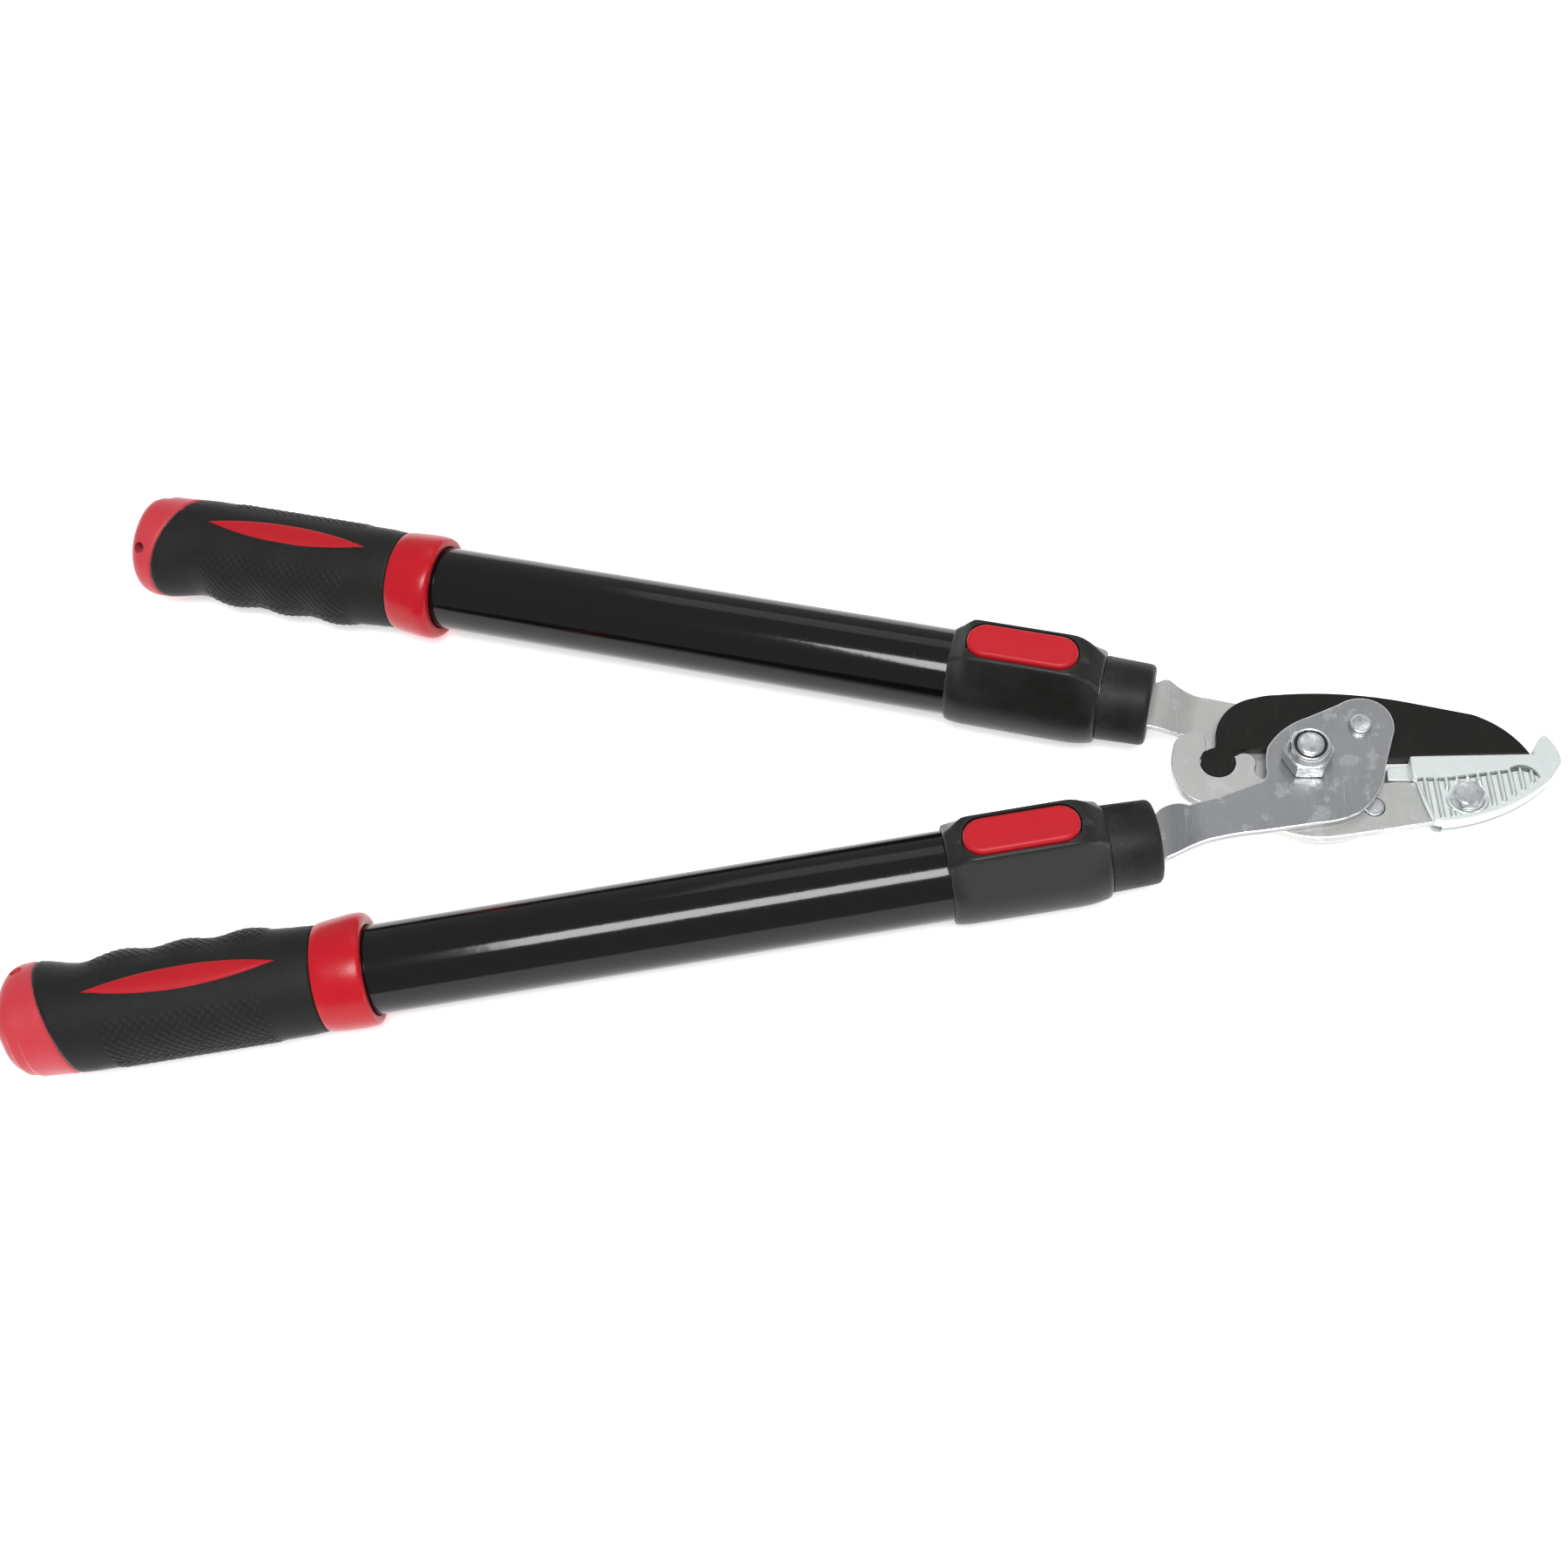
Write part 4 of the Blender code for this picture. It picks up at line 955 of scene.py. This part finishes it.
def hexagon(across, *chamfers):
    """A reach function: a hexagon limited by chamfer cones at the stations where they start."""
    def reach(station, radius, turn):
        if radius < across / 2.0 - 1e-6:
            return radius
        corner = across / 2.0 / math.cos((turn % (math.tau / 6.0)) - math.tau / 12.0)
        for face in chamfers:
            corner = min(corner, across / 2.0 - CHAMFER_START + CHAMFER_SLOPE * abs(station - face))
        return corner
    return reach


def steps_between(low, high, count):
    return [low + (high - low) * k / count for k in range(count + 1)]


def make_pivot():
    back, top, across = -NUT_SEAT, NUT_SEAT + 11.0, 17.0
    shaft = 5.0
    head_profile = [(back - 6.2, 6.6)] + [(z, across) for z in steps_between(back - 6.1, back, 14)]
    end = [(back, shaft), (top - 0.6, shaft), (top - 0.45, 4.75), (top - 0.1, 4.75), (top + 0.05, 4.95),
           (top + 0.25, 4.95), (top + 0.75, 4.3), (top + 0.82, 3.9)]
    bolt = spun(head_profile + end, "Z", 96, PIVOT, hexagon(across, back - 6.1))
    piece("pivot_bolt_turned", bolt, head, "anvil_head", ["pivot_bolt"], "zinc_fastener", METALS["zinc"])
    seat = NUT_SEAT
    nut = [(seat, 5.2)] + [(z, across) for z in steps_between(seat, seat + 6.9, 18)]
    crown = [(seat + 7.0, 8.0), (seat + 7.5, 7.75), (seat + 8.2, 7.7), (top - 1.3, 7.6), (top - 0.7, 7.4),
             (top - 0.25, 7.0), (top, 6.55), (top - 0.1, 6.25), (top - 0.5, 6.15), (seat + 8.6, 6.15),
             (seat + 8.6, 5.2)]
    flats = hexagon(across, seat, seat + 6.9)

    def flats_then_crown(station, radius, turn):
        return radius if station > seat + 6.95 else flats(station, radius, turn)

    turned_nut = lathe(nut + crown, "Z", 96, PIVOT, flats_then_crown)
    piece("pivot_nut_turned", turned_nut, head, "anvil_head", ["pivot_nut"], "zinc_fastener", METALS["zinc"],
          crease=35.0)
    ring = fillet([(seat + 8.8, 5.1), (seat + 8.8, 6.12), (top - 0.35, 6.12), (top - 0.35, 5.1)], 0.4)
    piece("nut_insert_ring", lathe(ring, "Z", 64, PIVOT), head, "anvil_head", ["nut_insert"], "nylon",
          PLASTICS["dark"])


def make_anvil_bolt():
    seat, across, shaft = 5.4, 10.0, 3.0
    neck = [(-seat - 6.0, 2.3), (-seat - 5.4, shaft), (seat, shaft)]
    cap = [(z, across) for z in steps_between(seat, seat + 3.9, 14)] + [(seat + 4.0, 4.0)]
    bolt = spun(neck + cap, "Z", 96, ANVIL_BOLT, hexagon(across, seat + 4.0))
    piece("anvil_bolt_forged", bolt, head, "anvil_head", ["anvil_bolt"], "zinc_fastener", METALS["zinc"])
    under = [(-seat - 5.0, 3.2), (-seat - 5.0, 4.4)]
    under += [(z, across) for z in steps_between(-seat - 4.9, -seat, 14)]
    nut = lathe(under + [(-seat, 3.2)], "Z", 96, ANVIL_BOLT, hexagon(across, -seat - 5.0, -seat))
    piece("anvil_nut_turned", nut, head, "anvil_head", ["anvil_nut"], "zinc_fastener", METALS["zinc"])


def make_drive_pin():
    """The pin's head is a low button with a rolled rim."""
    seat = ARM_OUTER
    profile = [(0.3 - MID_HALF, 2.9), (0.5 - MID_HALF, 3.0), (seat, 3.0), (seat, 4.25), (seat + 1.7, 4.25),
               (seat + 2.1, 4.1), (seat + 2.3, 3.7), (seat + 2.3, 3.2), (seat + 2.2, 2.8)]
    piece("drive_pin_turned", spun(profile, "Z", 72, DRIVE_PIN), head, "lever", ["drive_pin"], "zinc_fastener",
          METALS["zinc"])


def make_plate_rivet():
    """Set flush in front, with a shallow groove round it, and a low head on the back."""
    back, front = -NUT_SEAT, MID_HALF
    profile = [(back - 1.6, 4.2), (back - 1.3, 4.9), (back - 0.5, 5.5), (back, 5.6), (back, 3.9),
               (front - 0.2, 3.9), (front + 0.25, 3.75), (front + 0.4, 3.4), (front + 0.35, 2.6)]
    piece("plate_rivet_set", spun(profile, "Z", 64, PLATE_RIVET), head, "anvil_head", ["plate_rivet"],
          "zinc_fastener", METALS["zinc"])


make_pivot()
make_anvil_bolt()
make_drive_pin()
make_plate_rivet()

# %% [markdown]
# ## The handles' front: ferrules, lock housings and buttons
# A ferrule is lathe work with a slot for the arm. A lock housing is round at its ends and has a raised flat top
# in between. Its section is the hull of a circle and a flat line, so its radius in any direction is known in
# closed form. A soft minimum instead of a hard one rounds the crease between top and flank to about a millimetre.

# %% Ferrules and tubes
FERRULE_FRONT = 62.7
FERRULE_REAR = 82.5
TUBE_RADIUS = 17.5
TUBE_WALL = 1.2
TUBE_FRONT = 86.3
TUBE_REAR = 498.0
ARM_CLEARANCE = 0.3


def make_ferrule(label, body):
    sleeve = [(63.0, 9.0), (FERRULE_FRONT, 10.5), (FERRULE_FRONT, 14.4), (FERRULE_FRONT + 0.3, 15.3),
              (FERRULE_FRONT + 1.0, 16.0), (FERRULE_FRONT + 2.2, 16.35), (FERRULE_FRONT + 10.0, 16.6),
              (FERRULE_REAR - 0.4, 16.9), (FERRULE_REAR, 16.5), (FERRULE_REAR, 14.8), (67.7, 14.8), (67.7, 11.7),
              (100.0, 11.7), (100.0, 9.0)]
    ferrule = piece(f"{label}_ferrule_moulded", spun(sleeve), handles[label], body, [f"{label}_ferrule"],
                    "black_plastic", PLASTICS["ferrule"], crease=50.0)
    gap = SHANK_HALF + ARM_CLEARANCE
    slot = [(gap, -1.8), (gap, 1.8), (-gap, 1.8), (-gap, -1.8)]
    cutter = loft([[(station, y, z) for y, z in fillet(slot, 0.6, 3)] for station in (55.0, 105.0)])
    cut(ferrule, cutter)


def make_outer_tube(label, body):
    bore = TUBE_RADIUS - TUBE_WALL
    corners = [(TUBE_FRONT, bore), (TUBE_FRONT, TUBE_RADIUS), (TUBE_REAR, TUBE_RADIUS), (TUBE_REAR, bore)]
    tube = lathe(fillet(corners, 0.4, 4), "X", 128)
    piece(f"{label}_tube_lacquered", tube, handles[label], body, [f"{label}_outer_tube"], "black_lacquer",
          PLASTICS["lacquer"])


# %% Lock housings
TOP_HALF = 9.5
HOUSING_TOP = 27.0
CORNER = math.atan2(HOUSING_TOP, TOP_HALF)
CORNER_SHARPNESS = 55.0
BUTTON_HALF = 7.5
BUTTON_ENDS = ((100.1, 0.0), (129.1, 0.0))
BUTTON_GAP = 0.8
POCKET_FLOOR = 19.2
PIN_RADIUS = 1.8
PEG = (101.0, 0.0)


def hull_radius(angle, radius, top):
    """Radius of the hull of a circle and a flat top line, with soft corners."""
    rise = math.sin(angle)
    from_side = math.asin(min(max(rise, 0.0), 1.0))
    tangent = CORNER - math.acos(min(radius * math.sin(CORNER) / top, 1.0))
    if from_side <= tangent:
        return radius
    flank = radius / math.cos(from_side - tangent)
    lid = top / math.sin(from_side)
    return (flank ** -CORNER_SHARPNESS + lid ** -CORNER_SHARPNESS) ** (-1.0 / CORNER_SHARPNESS)


def housing_turns():
    """Angles of a section's points, closer together at the two creases."""
    turns = full_circle(96)
    for corner in (CORNER, math.pi - CORNER):
        turns += [corner + math.radians(offset) for offset in (-3.1, -2.2, -1.4, -0.7, 0.1, 0.8, 1.5, 2.3, 3.2)]
    return sorted(turns)


def make_housing(label, body):
    sections = [(82.7, 17.6, 19.3), (83.0, 18.2, 19.7), (83.7, 18.7, 20.3), (85.0, 19.1, 21.4), (87.0, 19.5, 23.1),
                (89.5, 19.9, 24.8), (92.0, 20.1, 26.1), (94.5, 20.2, 26.8), (97.0, 20.2, HOUSING_TOP),
                (110.0, 20.2, HOUSING_TOP), (125.0, 20.1, HOUSING_TOP), (133.8, 20.0, HOUSING_TOP),
                (135.6, 20.0, 26.7), (137.6, 19.9, 25.2), (139.6, 19.7, 23.3), (141.2, 19.5, 21.9),
                (142.4, 19.2, 21.0), (142.9, 18.9, 20.5), (143.1, 18.4, 19.9)]
    turns = housing_turns()
    rings = [ring_at(station, [hull_radius(turn, radius, top) for turn in turns], turns)
             for station, radius, top in sections]
    for station, radius in ((143.1, 17.8), (86.0, 17.8), (86.0, 14.9), (82.7, 14.9)):
        rings.append(ring_at(station, [radius] * len(turns), turns))
    housing = piece(f"{label}_housing_moulded", loft(rings, closed=True), handles[label], body,
                    [f"{label}_lock_housing"], "black_plastic", PLASTICS["nylon"], crease=30.0)
    pocket = prism(stadium(*BUTTON_ENDS, BUTTON_HALF + BUTTON_GAP, 28), POCKET_FLOOR, 40.0)
    pin = spun([(-10.4, PIN_RADIUS), (10.4, PIN_RADIUS)], "Y", 32, ROCKER)
    cut(housing, pocket, pin, hole(PEG, 4.4, 0.0, POCKET_FLOOR + 1.0))


# %% Rocker buttons
SPRING = (130.0, 0.0)
SPRING_HOLE = 3.6


def make_button(label, body):
    """A pill with a rolled rim and a hollow for the thumb so slight that only a highlight shows it."""
    levels = [(21.3, 0.3), (21.6, 0.0), (26.6, 0.0), (27.2, 0.12), (27.7, 0.42), (28.05, 0.85), (28.25, 1.4),
              (28.3, 2.1), (28.27, 3.2), (28.2, 4.6), (28.15, 6.0)]
    rings = [[(x, y, z) for x, y in stadium(*BUTTON_ENDS, BUTTON_HALF - inwards, 28)] for z, inwards in levels]
    button = piece(f"{label}_button_moulded", loft(rings), handles[label], body, [f"{label}_lock_button"],
                   "button_red", PLASTICS["button"], crease=60.0)
    cut(button, hole(PEG, 3.55, 10.0, 25.3), hole(SPRING, SPRING_HOLE, 10.0, 25.8),
        spun([(-9.0, PIN_RADIUS), (9.0, PIN_RADIUS)], "Y", 32, ROCKER))


for label in SIDES:
    arm_body = "anvil_head" if label == "upper" else "lever"
    make_ferrule(label, arm_body)
    make_outer_tube(label, f"{label}_sleeve")
    make_housing(label, f"{label}_sleeve")
    make_button(label, f"{label}_button")

# %% [markdown]
# ## The grips
# One function gives the grip's radius at every station and angle, and every piece of the grip reads from it, so
# the pieces fit. The side towards the other handle swells in three finger waves and flares at the butt. The
# rubber is knurled in two patches, one on the fingers' side and one on the palm's. The knurls are real bumps:
# two crossing waves whose height fades out at the rim of the patch. The rubber ends along a slanting
# line, where the red end cap begins.

# %% The grip's surface
GRIP_RADIUS = 21.2
GRIP_REAR = 511.0
COLLAR = (366.6, 386.0)
INLAY = (398.8, 473.2)
INLAY_HALF = 4.8
FINGER_FIRST, FINGER_PITCH = 414.0, 24.5
KNURL_PITCH = 2.5
KNURL_HEIGHT = 0.55
COVER_BORE = 19.6
CORE_BORE = 17.9


def swell(station):
    """How far the finger side stands out: three waves, then the flared butt."""
    zone = smooth(station, 394.0, 406.0) - smooth(station, 468.0, 480.0)
    wave = 1.9 + 0.9 * math.cos(math.tau * (station - FINGER_FIRST) / FINGER_PITCH)
    return zone * wave + 4.0 * smooth(station, 478.0, 498.0)


def grip_radius(station, turn, inner):
    """The smooth surface. inner is the sign of the side that faces the other handle."""
    towards = max(0.0, inner * math.cos(turn))
    palm = max(0.0, -inner * math.cos(turn))
    base = GRIP_RADIUS - 0.5 * (1.0 - smooth(station, 386.0, 395.0)) - 1.3 * palm * smooth(station, 476.0, 500.0)
    return base + swell(station) * towards ** 2


def knurl(station, turn, inner):
    """Diamond knurls in the finger patch and the palm patch."""
    side = abs(math.cos(turn))
    finger = inner * math.cos(turn) > 0.0
    rear = 476.0 if finger else 470.0
    lift = math.sin(turn)
    edge = smooth(side, 0.52, 0.66) if lift > 0.0 else smooth(side, 0.35, 0.5)
    ends = smooth(station, 403.0, 407.0) - smooth(station, rear - 4.0, rear)
    arc = turn * GRIP_RADIUS
    slant = KNURL_PITCH * math.sqrt(2.0)
    one = 0.5 + 0.5 * math.cos(math.tau * (station + arc) / slant)
    two = 0.5 + 0.5 * math.cos(math.tau * (station - arc) / slant)
    return KNURL_HEIGHT * edge * ends * (one * two) ** 0.6


def cap_line(turn, inner):
    """The station where the rubber ends and the cap begins: further back on the finger side."""
    return 490.8 + 6.4 * inner * math.cos(turn)


# %% Rubber covers
COVER_COLUMNS = 176
COVER_TURNS = 224


def make_cover(label, body, inner):
    front = COLLAR[1] + 0.25
    rings = []
    for column in range(COVER_COLUMNS + 1):
        ring = []
        for turn in full_circle(COVER_TURNS):
            rear = cap_line(turn, inner) - 0.2
            station = front + (rear - front) * column / COVER_COLUMNS
            radius = grip_radius(station, turn, inner) + knurl(station, turn, inner)
            lip = 0.7 * (1.0 - smooth(station, front, front + 0.9)) + 0.7 * smooth(station, rear - 1.1, rear)
            ring.append((station, (radius - lip) * math.cos(turn), (radius - lip) * math.sin(turn)))
        rings.append(ring)
    rings = [drawn_in(rings[0], COVER_BORE)] + rings + [drawn_in(rings[-1], COVER_BORE)]
    piece(f"{label}_grip_rubber", loft(rings, closed=True), handles[label], body, [f"{label}_grip_cover"],
          "grip_rubber", PLASTICS["rubber"], crease=70.0)


# %% Collars, inlays and end caps
def make_collar(label, body, inner):
    """A bulging ring with a low flange towards the fingers."""
    sections = [(366.9, CORE_BORE, 0.0), (366.6, 18.8, 0.0), (366.7, 20.2, 0.3), (367.1, 20.9, 0.9),
                (368.0, 21.3, 1.4), (369.6, 21.6, 1.6), (372.0, 21.75, 1.5), (375.0, 21.75, 1.2),
                (379.0, 21.6, 0.8), (382.5, 21.4, 0.5), (385.0, 21.1, 0.4), (385.8, 20.8, 0.3),
                (386.0, 20.2, 0.0), (386.0, 19.3, 0.0), (489.0, 19.3, 0.0), (489.0, CORE_BORE, 0.0)]
    turns = full_circle(128)
    rings = []
    for station, radius, flange in sections:
        radii = [radius + flange * max(0.0, inner * math.cos(turn)) ** 2 for turn in turns]
        rings.append(ring_at(station, radii, turns))
    piece(f"{label}_grip_collar", loft(rings, closed=True), handles[label], body, [f"{label}_grip_core"],
          "grip_red", PLASTICS["collar"], crease=50.0)


def make_inlay(label, body):
    """The pointed oval on top: a low cushion between two arcs, wrapped on the grip."""
    middle, half_length = (INLAY[0] + INLAY[1]) / 2.0, (INLAY[1] - INLAY[0]) / 2.0
    columns, rows = 90, 20
    reach = (half_length ** 2 + INLAY_HALF ** 2) / (2.0 * INLAY_HALF)
    rings = []
    for column in range(columns + 1):
        t = -math.cos(math.pi * column / columns)
        station = middle + t * half_length * 0.999
        width = math.sqrt(reach ** 2 - (station - middle) ** 2) - reach + INLAY_HALF
        ring = []
        for row in range(rows + 1):
            v = -1.0 + 2.0 * row / rows
            proud = 0.5 * (1.0 - abs(v) ** 4) * smooth(width, 0.0, 1.2) + 0.05
            turn = math.pi / 2 - v * width / GRIP_RADIUS
            ring.append((station, (GRIP_RADIUS + proud) * math.cos(turn), (GRIP_RADIUS + proud) * math.sin(turn)))
        for v in (1.0, 0.0, -1.0):
            turn = math.pi / 2 - v * width / GRIP_RADIUS
            ring.append((station, 19.9 * math.cos(turn), 19.9 * math.sin(turn)))
        rings.append(ring)
    piece(f"{label}_grip_inlay", loft(rings), handles[label], body, [f"{label}_grip_core"], "grip_red",
          PLASTICS["inlay"], crease=70.0)


# %% End caps and hang holes
HANG_STATION = 502.0
HANG_RADIUS = 2.5
HANG_TILT = math.radians(45.0)
DOME_START = 498.0
DOME_POWER = 3.6
CAP_STEP = 0.8


def make_cap(label, body, inner):
    """The end cap: it carries the grip's surface on, steps down twice on the palm side and closes in a dome."""
    columns = 46
    turns = full_circle(160)
    rings = []
    for column in range(columns + 1):
        ring = []
        for turn in turns:
            start = cap_line(turn, inner) + 0.15
            t = column / columns
            station = start + (GRIP_REAR - start) * (1.0 - (1.0 - t) ** 1.6)
            dome = max(0.0, (station - DOME_START) / (GRIP_REAR - DOME_START))
            closing = math.sqrt(max(1.0 - dome ** DOME_POWER, 0.04))
            radius = grip_radius(min(station, DOME_START), turn, inner) * closing
            lip = 0.6 * (1.0 - smooth(station, start, start + 0.9))
            palm = smooth(-inner * math.cos(turn) - 0.5 * math.sin(turn), -0.1, 0.5)
            steps = CAP_STEP * palm * (smooth(station, 498.6, 499.4) + smooth(station, 503.2, 504.0))
            far = radius - lip - steps * smooth(radius, 8.0, 14.0)
            ring.append((station, far * math.cos(turn), far * math.sin(turn)))
        rings.append(ring)
    bore = ring_at(TUBE_REAR + 0.4, [CORE_BORE] * len(turns), turns)
    cap = loft([bore, drawn_in(rings[0], CORE_BORE)] + rings)
    made = piece(f"{label}_grip_cap", cap, handles[label], body, [f"{label}_grip_core"], "grip_red",
                 PLASTICS["cap"], crease=55.0)
    across = Vector((0.0, inner * math.sin(HANG_TILT), math.cos(HANG_TILT)))
    drill = spun([(-42.0, HANG_RADIUS), (42.0, HANG_RADIUS)], "Z", 40)
    turn = Vector((0.0, 0.0, 1.0)).rotation_difference(across).to_matrix()
    bmesh.ops.rotate(drill, verts=drill.verts, matrix=turn)
    bmesh.ops.translate(drill, verts=drill.verts, vec=(HANG_STATION, 0.0, 0.0))
    cut(made, drill)


for label, inner in SIDES.items():
    sleeve = f"{label}_sleeve"
    make_cover(label, sleeve, inner)
    make_collar(label, sleeve, inner)
    make_inlay(label, sleeve)
    make_cap(label, sleeve, inner)

# %% [markdown]
# ## Parts that stay as they are
# The parts inside the handles only show when the tubes are drawn out. Their engineering shape is right, so they
# keep it and only get a real finish.

# %% Finishes on the remaining nodes
KEPT = {"inner_tube": METALS["drawn"], "shank_pin": METALS["zinc"], "slide_bush": PLASTICS["dark"],
        "lock_peg": METALS["zinc"], "button_pin": METALS["zinc"], "button_spring": METALS["zinc"]}
for label in SIDES:
    for part, material in KEPT.items():
        kept = frame["nodes"][f"{label}_{part}"]
        kept.data.materials.clear()
        kept.data.materials.append(material)
print("refinished", len(KEPT) * len(SIDES), "kept nodes")

# %% [markdown]
# ## Floor, light and camera
# A pale floor that glows a little, a soft key light in front, a weak fill from behind and an even, dim surround
# make a catalogue picture. The key is narrow enough to draw a thin bright line along the lacquered tubes. The
# camera looks down at the middle of the tool from the side of the lever handle.

# %% Floor
FLOOR_HALF = 6.0
FLOOR_GLOW = 0.55


def make_floor():
    bm = bmesh.new()
    bmesh.ops.create_grid(bm, x_segments=1, y_segments=1, size=FLOOR_HALF)
    mesh = bpy.data.meshes.new("floor")
    bm.to_mesh(mesh)
    bm.free()
    floor = bpy.data.objects.new("floor", mesh)
    bpy.context.scene.collection.objects.link(floor)
    paper = Finish("floor_paper", (0.92, 0.92, 0.92), 0.9, 0.0, Specular_IOR_Level=0.1)
    paper.shader.inputs["Emission Color"].default_value = (1.0, 1.0, 1.0, 1.0)
    paper.shader.inputs["Emission Strength"].default_value = FLOOR_GLOW
    paper.tint(paper.mask("blotches", Scale=3.0, Low=0.3, High=0.8), (0.9, 0.905, 0.9), 0.5)
    mesh.materials.append(paper.material)


# %% Lights
KEY_POWER = 50.0
FILL_POWER = 7.0
SURROUND_STRENGTH = 0.45


def area_light(name, centre, size, power):
    """A rectangular lamp that faces the middle of the tool."""
    data = bpy.data.lights.new(name, "AREA")
    data.shape = "RECTANGLE"
    data.size, data.size_y = size
    data.energy = power
    light = bpy.data.objects.new(name, data)
    bpy.context.scene.collection.objects.link(light)
    light.location = centre
    light.rotation_euler = (-Vector(centre)).to_track_quat("-Z", "Y").to_euler()


def make_lights():
    area_light("key", (0.20, -0.80, 2.35), (1.35, 0.78), KEY_POWER)
    area_light("fill_behind", (0.3, 2.4, 2.6), (2.0, 1.4), FILL_POWER)
    world = bpy.data.worlds.new("studio")
    world.use_nodes = True
    surround = world.node_tree.nodes["Background"]
    surround.inputs["Color"].default_value = (0.95, 0.97, 1.0, 1.0)
    surround.inputs["Strength"].default_value = SURROUND_STRENGTH
    bpy.context.scene.world = world


# %% Camera
VIEW_AZIMUTH = math.radians(13.86)
VIEW_ELEVATION = math.radians(59.65)
VIEW_ROLL = math.radians(11.64)
VIEW_DISTANCE = 0.7401
VIEW_LENS = 42.76
AIM = (-202.3, -6.6)


def make_camera():
    data = bpy.data.cameras.new("camera")
    data.lens = VIEW_LENS
    data.sensor_width = 36.0
    camera = bpy.data.objects.new("camera", data)
    bpy.context.scene.collection.objects.link(camera)
    aim = head @ (Vector((*AIM, 0.0)) * MM)
    away = Vector((math.sin(VIEW_AZIMUTH) * math.cos(VIEW_ELEVATION),
                   -math.cos(VIEW_AZIMUTH) * math.cos(VIEW_ELEVATION), math.sin(VIEW_ELEVATION)))
    camera.location = aim + away * VIEW_DISTANCE
    level = away.to_track_quat("Z", "Y").to_matrix()
    camera.rotation_euler = (level @ Matrix.Rotation(-VIEW_ROLL, 3, "Z")).to_euler()
    bpy.context.scene.camera = camera
    print("camera at", [round(value, 3) for value in camera.location])


make_floor()
make_lights()
make_camera()
bpy.context.scene.view_settings.view_transform = "Standard"
